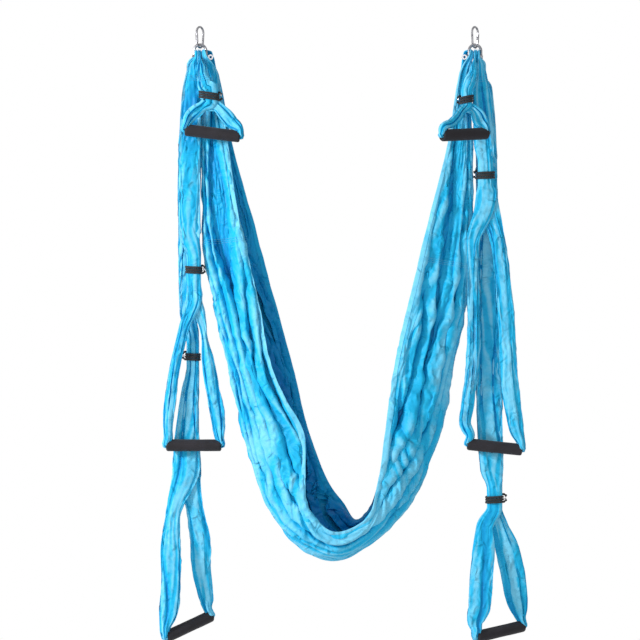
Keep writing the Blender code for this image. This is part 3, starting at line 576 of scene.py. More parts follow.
class Shades:
    """A material's node tree while it is being put together."""

    def __init__(self, name: str) -> None:
        """Starts a material with its shader.

        Args:
            name: Name of the material.
        """
        self.material = bpy.data.materials.new(name)
        self.material.use_nodes = True
        self.tree = self.material.node_tree
        self.shader = self.tree.nodes["Principled BSDF"]

    def node(self, kind: str, **settings: object) -> bpy.types.Node:
        """Adds a node.

        Args:
            kind: Blender's name for the node.
            settings: Properties to set on it.

        Returns:
            The node.
        """
        made = self.tree.nodes.new(kind)
        for name, value in settings.items():
            setattr(made, name, value)
        return made

    def link(self, source: Socket, target: Socket) -> None:
        """Joins two sockets."""
        self.tree.links.new(source, target)

    def set(self, **values: object) -> None:
        """Sets sockets on the shader, with their names written with underscores."""
        for name, value in values.items():
            self.shader.inputs[name.replace("_", " ")].default_value = value

    def math(self, operation: str, first: Socket | float, second: Socket | float = 0.0) -> Socket:
        """A sum on numbers or sockets.

        Args:
            operation: Blender's name for the sum.
            first: Its first number or socket.
            second: Its second number or socket.

        Returns:
            The result's socket.
        """
        made = self.node("ShaderNodeMath", operation=operation)
        for socket, value in zip(made.inputs, (first, second)):
            if isinstance(value, Socket):
                self.link(value, socket)
            else:
                socket.default_value = value
        return made.outputs[0]

    def wave(self, distance: Socket, length: float) -> Socket:
        """A sine wave from -1 to 1 with a given length."""
        return self.math("SINE", self.math("MULTIPLY", distance, TAU / length))

    def coordinates(self, name: str) -> Socket:
        """A texture coordinate by its name, such as UV or Object."""
        return self.node("ShaderNodeTexCoord").outputs[name]

    def parts(self, place: Socket) -> list[Socket]:
        """The separate coordinates of a place.

        Args:
            place: The place.

        Returns:
            One socket for each coordinate.
        """
        split = self.node("ShaderNodeSeparateXYZ")
        self.link(place, split.inputs[0])
        return list(split.outputs)

    def noise(self, place: Socket, scale: float, detail: float = 3, rough: float = 0.55) -> Socket:
        """Cloudy noise.

        Args:
            place: Coordinates to read it at.
            scale: Features in a metre.
            detail: Finer layers.
            rough: Weight of the finer layers.

        Returns:
            The noise's value.
        """
        made = self.node("ShaderNodeTexNoise")
        for name, number in (("Scale", scale), ("Detail", detail), ("Roughness", rough)):
            made.inputs[name].default_value = number
        self.link(place, made.inputs["Vector"])
        return made.outputs["Fac"]

    def spread(self, value: Socket, low: float, high: float, new_low: float, new_high: float) -> Socket:
        """Maps a range of values to another.

        Args:
            value: The socket to map.
            low: Start of its range.
            high: End of its range.
            new_low: What the start becomes.
            new_high: What the end becomes.

        Returns:
            The mapped value.
        """
        made = self.node("ShaderNodeMapRange")
        limits = (("From Min", low), ("From Max", high), ("To Min", new_low), ("To Max", new_high))
        for name, number in limits:
            made.inputs[name].default_value = number
        self.link(value, made.inputs["Value"])
        return made.outputs[0]

    def ramp(self, value: Socket, *stops: Stop) -> Socket:
        """A run of colours.

        Args:
            value: Where to read the run, 0 to 1.
            stops: Places and colours.

        Returns:
            The colour.
        """
        made = self.node("ShaderNodeValToRGB")
        elements = made.color_ramp.elements
        while len(elements) < len(stops):
            elements.new(0.5)
        for element, (place, colour) in zip(elements, stops):
            element.position = place
            element.color = (*colour, 1)
        self.link(value, made.inputs["Fac"])
        return made.outputs["Color"]

    def tint(self, share: Socket, colour: Socket, tint: Colour) -> Socket:
        """Mixes a plain colour into another.

        Args:
            share: How much of the plain colour.
            colour: The colour under it.
            tint: The plain colour.

        Returns:
            The mixed colour.
        """
        made = self.node("ShaderNodeMix", data_type="RGBA")
        # The sixth and seventh sockets are the two colours
        self.link(share, made.inputs[0])
        self.link(colour, made.inputs[6])
        made.inputs[7].default_value = (*tint, 1)
        return made.outputs[2]

    def bump(self, height: Socket, strength: float, distance: float, under: Socket | None = None) -> Socket:
        """Raises the surface by a height.

        Args:
            height: The height's socket.
            strength: How strong it shows.
            distance: Its size in metres.
            under: A normal that it lies over.

        Returns:
            The bumped normal.
        """
        made = self.node("ShaderNodeBump")
        made.inputs["Strength"].default_value = strength
        made.inputs["Distance"].default_value = distance
        self.link(height, made.inputs["Height"])
        if under is not None:
            self.link(under, made.inputs["Normal"])
        return made.outputs["Normal"]

    def finish(self, colour: Socket, rough: Socket, normal: Socket) -> Material:
        """Joins the last sockets to the shader.

        Args:
            colour: The base colour.
            rough: The roughness.
            normal: The normal.

        Returns:
            The material.
        """
        for name, socket in (("Base Color", colour), ("Roughness", rough), ("Normal", normal)):
            self.link(socket, self.shader.inputs[name])
        return self.material


@dataclass(frozen=True)
class NylonFinish:
    """Turquoise nylon: fine weave, crushed creases, a soft sheen, and painted shade in the folds' valleys
    with a painted highlight on their crests.
    """

    name: str = "turquoise_nylon"
    # Colours from a fold's valley to its crest: painted shade in the valley and on the flank, the cloth's own
    # colour on a face, and a painted highlight on the crest
    valley: Colour = (0.000, 0.150, 0.460)
    flank: Colour = (0.000, 0.270, 0.580)
    face: Colour = (0.010, 0.400, 0.690)
    crest: Colour = (0.160, 0.530, 0.750)
    thread_tint: Colour = (0.02, 0.62, 0.85)
    sheen_tint: Colour = (0.1, 0.7, 1.0)
    patches_a_metre: float = 9
    streaks_a_metre: float = 60
    grain_a_metre: float = 200
    tone_wander: float = 0.05
    thread: float = 0.0007
    crease: float = 0.022

    def tone(self, shades: Shades, place: Socket, streaks: Socket) -> Socket:
        """Painted shade and highlight by how near the cloth is to a crest, with soft patches and streaks.

        Args:
            shades: The material being made.
            place: Coordinates on the object.
            streaks: The noise of the streaks.

        Returns:
            The tone, 0 in a valley, which is painted darkest, to 1 on a crest, which is painted palest.
        """
        tone = shades.node("ShaderNodeAttribute", attribute_name="fold_painted_shading").outputs["Fac"]
        for noise in (shades.noise(place, self.patches_a_metre), streaks):
            wander = shades.spread(noise, 0.3, 0.7, -self.tone_wander, self.tone_wander)
            tone = shades.math("ADD", tone, wander)
        return tone

    def crushed(self, shades: Shades, place: Socket) -> Socket:
        """Sharp creases, as a height.

        Args:
            shades: The material being made.
            place: Coordinates on the object.

        Returns:
            The height.
        """
        made = shades.node("ShaderNodeTexNoise", noise_type="RIDGED_MULTIFRACTAL")
        values = (("Scale", 1 / self.crease), ("Detail", 4), ("Roughness", 0.5), ("Distortion", 0.6))
        for name, value in values:
            made.inputs[name].default_value = value
        shades.link(place, made.inputs["Vector"])
        return made.outputs["Fac"]

    def material(self) -> Material:
        """The finish as a Blender material.

        Returns:
            The material.
        """
        shades = Shades(self.name)
        place = shades.coordinates("Object")
        streaks = shades.noise(place, self.streaks_a_metre, 4, 0.65)
        # Painted shade and highlight: the ramp darkens the folds' valleys and pales their crests
        stops = ((0.05, self.valley), (0.42, self.flank), (0.84, self.face), (1.0, self.crest))
        colour = shades.ramp(self.tone(shades, place, streaks), *stops)
        warp, weft = (shades.wave(part, self.thread) for part in shades.parts(shades.coordinates("UV"))[:2])
        weave = shades.math("MULTIPLY", warp, weft)
        colour = shades.tint(shades.spread(weave, -1, 1, 0.0, 0.10), colour, self.thread_tint)
        normal = shades.bump(self.crushed(shades, place), 0.85, 0.0100)
        normal = shades.bump(shades.noise(place, self.grain_a_metre, 3, 0.6), 0.35, 0.0007, normal)
        normal = shades.bump(weave, 0.22, 0.00012, normal)
        shades.set(Sheen_Weight=0.01, Sheen_Roughness=0.35, Sheen_Tint=(*self.sheen_tint, 1))
        shades.set(Specular_IOR_Level=0.16)
        return shades.finish(colour, shades.spread(streaks, 0.3, 0.7, 0.40, 0.54), normal)


@dataclass(frozen=True)
class ThreadFinish:
    """Sewing thread, a little paler than the cloth, with painted shade where its twist is low."""

    name: str = "sewing_thread"
    groove_painted_shade: Colour = (0.03, 0.34, 0.60)
    strand: Colour = (0.22, 0.66, 0.85)
    twists_a_metre: float = 900

    def material(self) -> Material:
        """The finish as a Blender material.

        Returns:
            The material.
        """
        shades = Shades(self.name)
        twist = shades.noise(shades.coordinates("Object"), self.twists_a_metre, 2)
        # Painted shade: darker where the twist's bump is low
        colour = shades.ramp(twist, (0.3, self.groove_painted_shade), (0.7, self.strand))
        return shades.finish(colour, shades.spread(twist, 0, 1, 0.5, 0.7), shades.bump(twist, 0.4, 0.0002))


@dataclass(frozen=True)
class FoamFinish:
    """Closed cell black foam with a fine skin grain."""

    name: str = "black_foam"
    clean: Colour = (0.009, 0.008, 0.011)
    scuffed: Colour = (0.022, 0.020, 0.026)
    cells_a_metre: float = 900
    dents_a_metre: float = 90
    scuffs_a_metre: float = 35

    def material(self) -> Material:
        """The finish as a Blender material.

        Returns:
            The material.
        """
        shades = Shades(self.name)
        place = shades.coordinates("Object")
        cells = shades.node("ShaderNodeTexVoronoi")
        cells.inputs["Scale"].default_value = self.cells_a_metre
        shades.link(place, cells.inputs["Vector"])
        scuffs = shades.noise(place, self.scuffs_a_metre, 4, 0.6)
        colour = shades.ramp(scuffs, (0.30, self.clean), (0.75, self.scuffed))
        normal = shades.bump(shades.noise(place, self.dents_a_metre), 0.25, 0.0008)
        normal = shades.bump(cells.outputs["Distance"], 0.45, 0.00025, normal)
        shades.set(Specular_IOR_Level=0.30, Sheen_Weight=0.08, Sheen_Roughness=0.5)
        return shades.finish(colour, shades.spread(scuffs, 0.3, 0.7, 0.62, 0.85), normal)


@dataclass(frozen=True)
class ElasticFinish:
    """Braided black elastic cord, with painted shade in the braid's grooves."""

    name: str = "black_elastic"
    groove_painted_shade: Colour = (0.002, 0.002, 0.003)
    strand: Colour = (0.014, 0.014, 0.017)
    plait: float = 0.0016
    plaits_round: int = 8
    fuzz_a_metre: float = 1500

    def material(self) -> Material:
        """The finish as a Blender material.

        Returns:
            The material.
        """
        shades = Shades(self.name)
        across, down = shades.parts(shades.coordinates("UV"))[:2]
        around = shades.math("MULTIPLY", across, self.plaits_round * TAU / CORD_FLAT_WIDTH)
        along = shades.math("MULTIPLY", down, TAU / self.plait)
        first = shades.math("SINE", shades.math("ADD", along, around))
        second = shades.math("SINE", shades.math("SUBTRACT", along, around))
        braid = shades.math("MAXIMUM", first, second)
        # Painted shade: darker where the braid is low, between its strands
        colour = shades.ramp(shades.spread(braid, -1, 1, 0, 1), (0.2, self.groove_painted_shade), (0.9, self.strand))
        shades.set(Sheen_Weight=0.06, Sheen_Roughness=0.4)
        fuzz = shades.noise(shades.coordinates("Object"), self.fuzz_a_metre, 2)
        normal = shades.bump(fuzz, 0.2, 0.0001, shades.bump(braid, 0.7, 0.0003))
        return shades.finish(colour, shades.spread(fuzz, 0, 1, 0.5, 0.7), normal)


@dataclass(frozen=True)
class PlateFinish:
    """Zinc plated steel with soft smears and small scratches."""

    name: str = "zinc_plate"
    dull: Colour = (0.26, 0.26, 0.28)
    bright: Colour = (0.58, 0.58, 0.61)
    smears_a_metre: float = 120
    scratches_a_metre: float = 700
    scratch_squeeze: float = 9

    def material(self) -> Material:
        """The finish as a Blender material.

        Returns:
            The material.
        """
        shades = Shades(self.name)
        place = shades.coordinates("Object")
        smears = shades.noise(place, self.smears_a_metre, 4, 0.6)
        colour = shades.ramp(smears, (0.30, self.dull), (0.70, self.bright))
        stretch = shades.node("ShaderNodeMapping")
        stretch.inputs["Scale"].default_value = (1, 1, self.scratch_squeeze)
        shades.link(place, stretch.inputs["Vector"])
        scratches = shades.noise(stretch.outputs[0], self.scratches_a_metre, 2)
        shades.set(Metallic=1.0)
        normal = shades.bump(scratches, 0.12, 0.0001, shades.bump(smears, 0.12, 0.0003))
        return shades.finish(colour, shades.spread(smears, 0.3, 0.7, 0.20, 0.38), normal)


@dataclass(frozen=True)
class TubeFinish:
    """Black moulded plastic of the core tubes."""

    name: str = "black_tube"
    dark: Colour = (0.018, 0.018, 0.020)
    light: Colour = (0.045, 0.045, 0.048)
    grain_a_metre: float = 400

    def material(self) -> Material:
        """The finish as a Blender material.

        Returns:
            The material.
        """
        shades = Shades(self.name)
        grain = shades.noise(shades.coordinates("Object"), self.grain_a_metre)
        colour = shades.ramp(grain, (0.3, self.dark), (0.7, self.light))
        rough = shades.spread(grain, 0.3, 0.7, 0.40, 0.58)
        return shades.finish(colour, rough, shades.bump(grain, 0.25, 0.0002))


@dataclass(frozen=True)
class Finishes:
    """The materials of the whole object."""

    nylon: Material
    thread: Material
    foam: Material
    elastic: Material
    plate: Material
    tube: Material

    @classmethod
    def make(cls) -> Finishes:
        """Makes each material once."""
        makers = (NylonFinish(), ThreadFinish(), FoamFinish(), ElasticFinish(), PlateFinish(), TubeFinish())
        return cls(*(maker.material() for maker in makers))


@dataclass(frozen=True)
class Stitching:
    """Short stitches of thread laid on a cloth, each a block with a narrower top."""

    pitch: float = 0.0036
    stitch: float = 0.0026
    thread: float = 0.0007
    top_share: float = 0.75

    def build(self, name: str, lines: list[StitchLine], material: Material) -> bpy.types.Object:
        """Lays stitches along lines on the cloth.

        Args:
            name: Name of the piece.
            lines: Points and normals of each line.
            material: The thread's finish.

        Returns:
            All the stitches as one object.
        """
        corners = np.array([(a, b, c) for a in (-1, 1) for b in (-1, 1) for c in (0, 1)], float)
        sides = np.array(((0, 1, 3, 2), (4, 6, 7, 5), (0, 4, 5, 1), (2, 3, 7, 6), (1, 5, 7, 3), (0, 2, 6, 4)))
        lengthwise, sideways, height = (corners[:, k : k + 1] for k in range(3))
        narrowing = 1 - (1 - self.top_share) * height
        points, faces = [], []
        for line, normals in lines:
            length = length_along(line)
            for start in np.arange(self.pitch / 2, length[-1] - self.pitch, self.pitch):
                head, tail, up = (
                    np.array([np.interp(place, length, values[:, k]) for k in range(3)])
                    for place, values in ((start, line), (start + self.stitch, line), (start, normals))
                )
                run = unit(tail - head)
                up = unit(up - run * (up @ run))
                faces.append(sides + len(points) * len(corners))
                points.append(
                    (head + tail) / 2
                    + run * lengthwise * np.linalg.norm(tail - head) / 2 * narrowing
                    + np.cross(run, up) * sideways * self.thread / 2
                    + up * height * self.thread
                )
        mesh = mesh_from_arrays(name, np.concatenate(points), np.concatenate(faces))
        return add_piece(name, mesh, material)


@dataclass
class HammockSheet:
    """The gathered sheet, from its loop over one pin, round the seat, to its loop over the other."""

    finishes: Finishes
    drop: float = 1.2575
    half_depth: float = 0.085
    shift: float = 0.008
    columns: int = 620
    row_step: float = 0.0046
    loop_step: float = 0.0025
    fold_depth: float = 0.032
    fold_reach_share: float = 0.30
    fold_room_share: float = 0.9
    hem_columns: int = 6
    hem_thickness: float = 0.0008
    # How much nearer to the crests' painted highlight the hems are painted
    hem_painted_light: float = 0.15
    flat_width: float = 1.30
    flat_length: float = 2.60
    cut_share: float = 0.76
    # How much darker the back half of the sheet is painted, as painted shade on its inside that shows over
    # the front rim
    back_painted_shade: float = 0.5
    crinkled_width: float = 1.1
    least_relief_share: float = 0.15
    # How sharply the ridges' tilt turns over at the seat, and at the crease between the halves
    seat_turn: float = 6
    crease_turn: float = 8
    seam_heights: dict[Side, float] = field(default_factory=lambda: {Side.LEFT: -0.505, Side.RIGHT: -0.563})
    broad: Folds = Folds(count=11, seed=4, wander=1.6, unevenness=0.7, sweep=1.0, tilt_share=0.65)
    narrow: Folds = Folds(count=31, depth=0.12, seed=9, wander=1.8, unevenness=0.9, run=0.22, lapped=False)
    crinkles: Crinkles = Crinkles(height=0.0085, length=0.056, seed=21)
    creases: Crinkles = Crinkles(height=0.0048, length=0.026, seed=61, slant=0.35)

    # Rows down the sheet: its outer line, its front rim and its back rim, each as shares of the
    # hang spacing and of the sheet's drop, then the share of the half depth that it opens to
    row_shares: tuple = (
        ((0.008, 0.098), (0.068, 0.094), (0.070, 0.094), 0.18),
        ((0.002, 0.218), (0.102, 0.218), (0.116, 0.218), 0.18),
        ((0.007, 0.382), (0.151, 0.376), (0.198, 0.372), 0.38),
        ((0.049, 0.511), (0.211, 0.500), (0.261, 0.494), 0.55),
        ((0.110, 0.654), (0.273, 0.650), (0.339, 0.641), 0.72),
        ((0.176, 0.793), (0.385, 0.780), (0.400, 0.769), 0.85),
        ((0.264, 0.914), (0.384, 0.865), (0.479, 0.868), 0.95),
        ((0.350, 0.968), (0.404, 0.908), (0.522, 0.897), 1.00),
        ((0.505, 1.000), (0.495, 0.943), (0.567, 0.929), 1.00),
        ((0.636, 0.964), (0.596, 0.921), (0.615, 0.910), 1.00),
        ((0.764, 0.893), (0.645, 0.850), (0.660, 0.842), 0.95),
        ((0.861, 0.786), (0.670, 0.767), (0.692, 0.761), 0.85),
        ((0.919, 0.650), (0.711, 0.620), (0.740, 0.617), 0.70),
        ((0.970, 0.511), (0.771, 0.492), (0.793, 0.491), 0.55),
        ((0.985, 0.382), (0.826, 0.372), (0.846, 0.370), 0.38),
        ((0.990, 0.218), (0.902, 0.216), (0.914, 0.216), 0.18),
        ((0.980, 0.098), (0.940, 0.094), (0.942, 0.094), 0.18),
    )
    # Rows of the loose tail behind the pin and of the throat in front of it: distance below the
    # pin, place in depth, half depth, and how far the lane has opened towards the first row
    tail_rows: tuple = ((0.040, 0.0150, 0.0060, 0.85), (0.017, 0.0150, 0.0075, 0.72))
    throat_rows: tuple = ((0.017, -0.0050, 0.0085, 0.62), (0.036, 0.0015, 0.0125, 0.90))
    # Angles over the pin, and how far the lane has opened at each
    loop_rows: tuple = ((-90, 0.62), (-45, 0.48), (0, 0.0), (45, 0.05), (90, 0.22))
    # Depth of the folds in a closed lane, and how much it grows as the lane opens
    tail_folds: tuple[float, float] = (0.0016, 0.0)
    loop_folds: tuple[float, float] = (0.0022, 0.004)
    throat_folds: tuple[float, float] = (0.0030, 0.006)

    def head_row(
        self, side: Side, centre: np.ndarray, depth: np.ndarray, opened: float, folds: tuple[float, float]
    ) -> np.ndarray:
        """One row near a pin.

        Args:
            side: The hanging point.
            centre: The middle of its lane.
            depth: Which way and how far it opens in depth.
            opened: How far the lane has opened towards the first row of the table.
            folds: Depth of its folds in a closed lane, and how much that grows.

        Returns:
            Outer point, front rim, back rim, depth vector and fold size.
        """
        half = X_AXIS * side.inward * LAYOUT.sheet_lane / 2
        first = self.table_row(self.row_shares[0 if side is Side.LEFT else -1])
        spots = np.array((centre - half, centre + half, centre + half))
        spots[:, 0] += (first[0:9:3] - spots[:, 0]) * opened
        return np.concatenate((*spots, depth, (folds[0] + folds[1] * opened,)))

    def head_rows(self, side: Side) -> list[np.ndarray]:
        """Rows from the loose tail behind a pin, over the pin, to the throat in front of it.

        Args:
            side: The hanging point.

        Returns:
            One row for each station.
        """
        lane = LAYOUT.pin(side) + X_AXIS * side.inward * LAYOUT.lane_offset(Lane.SHEET)
        rows = []
        for down, place, depth, opened in self.tail_rows:
            centre = lane + Y_AXIS * place - Z_AXIS * down
            rows.append(self.head_row(side, centre, -Y_AXIS * depth, opened, self.tail_folds))
        for degrees, opened in self.loop_rows:
            angle = math.radians(degrees)
            out = np.array((0, -math.sin(angle), math.cos(angle)))
            puff = LAYOUT.loop_puff / 2 * abs(math.sin(angle))
            centre = lane + out * (LAYOUT.loop_middle + puff)
            depth = -out * (LAYOUT.loop_thickness / 2 + puff)
            rows.append(self.head_row(side, centre, depth, opened, self.loop_folds))
        for down, place, depth, opened in self.throat_rows:
            centre = lane + Y_AXIS * place - Z_AXIS * down
            rows.append(self.head_row(side, centre, Y_AXIS * depth, opened, self.throat_folds))
        return rows

    def table_row(self, shares: tuple) -> np.ndarray:
        """One row of the table in real sizes.

        Args:
            shares: The table's row.

        Returns:
            Outer point, front rim, back rim, depth vector and fold size.
        """
        spots = [
            np.array((side * LAYOUT.hang_spacing, self.shift, -down * self.drop)) for side, down in shares[:3]
        ]
        depth = shares[3] * self.half_depth
        reach = np.linalg.norm((spots[1] + spots[2]) / 2 - spots[0])
        fold = min(self.fold_depth, reach * self.fold_reach_share, depth * self.fold_room_share)
        return np.concatenate((*spots, Y_AXIS * depth, (fold,)))

    def rows(self) -> tuple[np.ndarray, np.ndarray]:
        """Smooth rows along the whole sheet.

        Returns:
            The rows, and their distance along it.
        """
        left, right = self.head_rows(Side.LEFT), self.head_rows(Side.RIGHT)[::-1]
        keys = np.array([*left, *(self.table_row(shares) for shares in self.row_shares), *right])
        last = len(keys) - 2
        steps = [self.loop_step if min(i, last - i) < len(left) else self.row_step for i in range(last + 1)]
        middle = (keys[:, OUTER_LINE] + keys[:, FRONT_RIM] + keys[:, BACK_RIM]) / 3
        return rows_through(keys, middle, steps)

    @staticmethod
    def section(rows: np.ndarray, across: np.ndarray) -> tuple[np.ndarray, np.ndarray]:
        """The smooth line that each section follows, before its folds.

        Args:
            rows: Rows of outer point, front rim, back rim, depth vector and fold size.
            across: Share of the way from the front rim to the back rim, a row for each row.

        Returns:
            Points, and the direction into the fold of the sheet.
        """
        outer, front, back, depth = (rows[:, None, part] for part in (OUTER_LINE, FRONT_RIM, BACK_RIM, DEPTH))
        signed = 2 * np.clip(across, 0, 1) - 1
        quarter = (np.abs(signed) * math.pi / 2)[..., None]
        way = np.sign(signed)[..., None]
        reach = np.where(way < 0, front - outer, back - outer)
        points = outer + reach * (1 - np.cos(quarter)) + depth * np.sin(quarter) * way
        tangent = reach * np.sin(quarter) * way + depth * np.cos(quarter)
        inward, deep = unit((front + back) / 2 - outer), unit(depth)
        along_deep, along_inward = ((tangent * axis).sum(-1, keepdims=True) for axis in (deep, inward))
        return points, unit(inward * along_deep - deep * along_inward)

    def cloth(self) -> ClothGrid:
        """The folded sheet.

        Returns:
            Its grid of points, from the front rim to the back rim in each row.
        """
        rows, along = self.rows()
        across, length = np.meshgrid(np.linspace(0, 1, self.columns), along)
        size = rows[:, FOLD_SIZE]
        past_seat = np.clip((length / length.max() - 0.5) * self.seat_turn, -1, 1)
        tilt = past_seat * np.clip((0.5 - across) * self.crease_turn, -1, 1)
        shift, depth, ridge = self.broad.measure(across, length, -tilt)
        _, fine, _ = self.narrow.measure(across, length)
        points, normal = self.section(rows, across + shift)
        points = points + normal * (depth * size)[..., None]
        flat = np.stack((across * self.flat_width, length), axis=-1)
        facing = ClothGrid(points, flat, ridge).normals_towards(normal)
        sink = fine_sink(fine, ridge) * self.narrow.depth * size
        points = points + facing * sink[..., None]
        # Painted shade and light: the tone darkens the folds and the whole back half of the sheet, and pales
        # the crests
        back = smooth_step((across - 0.5) * self.crease_turn)
        grid = ClothGrid(points, flat, painted_fold_shading(depth, fine) * (1 - self.back_painted_shade * back))
        facing = grid.normals_towards(normal)
        stretched = across * self.crinkled_width
        relief = self.crinkles.rise(stretched, length) + self.creases.rise(stretched, length)
        relief = relief * np.clip(size / self.fold_depth, self.least_relief_share, 1)
        grid.points = points - facing * relief[..., None]
        return grid

    def hem(self, name: str, grid: ClothGrid, columns: list[int]) -> bpy.types.Object:
        """A rolled hem that wraps one rim of the sheet.

        Args:
            name: Name of the piece.
            grid: The sheet's grid.
            columns: The sheet's columns under the hem, from the rim inwards.

        Returns:
            The hem.
        """
        points, normals = grid.points[:, columns], grid.normals()[:, columns]
        inward = unit(points[:, 1] - points[:, 0])[:, None]
        front = points + normals * self.hem_thickness
        back = points - normals * self.hem_thickness
        fold = points[:, :1] - inward * self.hem_thickness
        ring = np.concatenate((front[:, ::-1], fold, back), axis=1)
        round_rim = [*columns[::-1], columns[0], *columns]
        # Painted light: the hem's tone is raised towards the crests' painted highlight
        paler = np.clip(grid.ridge[:, round_rim] + self.hem_painted_light, 0, 1)
        return ClothGrid(ring, grid.flat[:, round_rim], paler).build(name, self.finishes.nylon)

    def seam_row(self, grid: ClothGrid, side: Side) -> int:
        """The row of the sheet that a side's seam crosses it at.

        Args:
            grid: The sheet's grid.
            side: The side of the hammock that the seam is on.

        Returns:
            The row nearest to the seam's height.
        """
        rows = len(grid.points)
        half = range(rows // 2) if side is Side.LEFT else range(rows // 2, rows)
        heights = grid.points[:, self.columns // 2, 2]
        return min(half, key=lambda i: abs(heights[i] - self.seam_heights[side]))

    def build(self) -> list[bpy.types.Object]:
        """Makes the sheet, its two hems and its seams, and hangs them on their body.

        Returns:
            The sheet, then the other pieces.
        """
        grid = self.cloth()
        LOG.info("sheet: %d by %d points, %.2f square metres", *grid.points.shape[:2], grid.area())
        sheet = grid.build("hammock_sheet_cloth", self.finishes.nylon)
        last = self.columns - 1
        front = self.hem("sheet_front_hem", grid, list(range(self.hem_columns)))
        back = self.hem("sheet_back_hem", grid, list(range(last, last - self.hem_columns, -1)))
        pieces = [sheet, front, back]
        for side in Side:
            lines = grid.stitch_lines(self.seam_row(grid, side))
            pieces.append(Stitching().build(f"{side.value}_sheet_seam", lines, self.finishes.thread))
        for piece in pieces:
            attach(piece, "hammock")
        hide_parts("hammock_sheet")
        return pieces


@dataclass(frozen=True)
class StrapShape:
    """Where one strap hangs, and how it opens out on its way down.

    A layer is a place in depth, and the drop runs from the pin to the grip, whose tilt and turn are
    in degrees. Leans and the neck's widths are shares of the strap's half width, and the drops of
    the tie and of the split are shares of the strap's drop. The crimp is on the tie's right side
    for 1 and on its left side for -1.
    """

    side: Side
    lane: Lane
    layer: float
    grip_layer: float
    drop: float
    lean_share: float
    tilt: float
    turn: float
    neck_share: float
    leg_share: float
    tie_drop_share: float
    tie_lean_share: float
    tie_width_share: float
    tie_travel_share: float
    split_drop_share: float
    split_lean_share: float
    crimp_side: int
    tie_slope: float
    # Rows of the neck above the tie and below it: share of the way down to the tie or to the
    # split, then lean and half width as shares of the neck's
    upper_shares: tuple
    lower_shares: tuple
    # Rows of each leg: share of the way down to the grip, sideways place as a share of half the
    # grip's reach, and half width as a share of the leg's
    left_leg_shares: tuple
    right_leg_shares: tuple
    half_width: float = 0.025
    grip_length: float = 0.130
    leg_base: float = 0.0125
    tie_travel_base: float = 0.015

    @property
    def name(self) -> str:
        """The strap's name, such as left_short."""
        return f"{self.side.value}_{self.lane.value}"

    @property
    def grip_centre(self) -> np.ndarray:
        """The middle of the grip."""
        offset = (self.lean_share * self.half_width, self.grip_layer, -self.drop)
        return LAYOUT.pin(self.side) + np.array(offset)

    @property
    def grip_run(self) -> np.ndarray:
        """The way along the grip, from its left end to its right end."""
        tilt, turn = math.radians(self.tilt), math.radians(self.turn)
        return np.array((math.cos(tilt) * math.cos(turn), math.cos(tilt) * math.sin(turn), math.sin(tilt)))

    @property
    def tie_half_width(self) -> float:
        """Half the neck's width where the tie is."""
        return self.tie_width_share * self.half_width


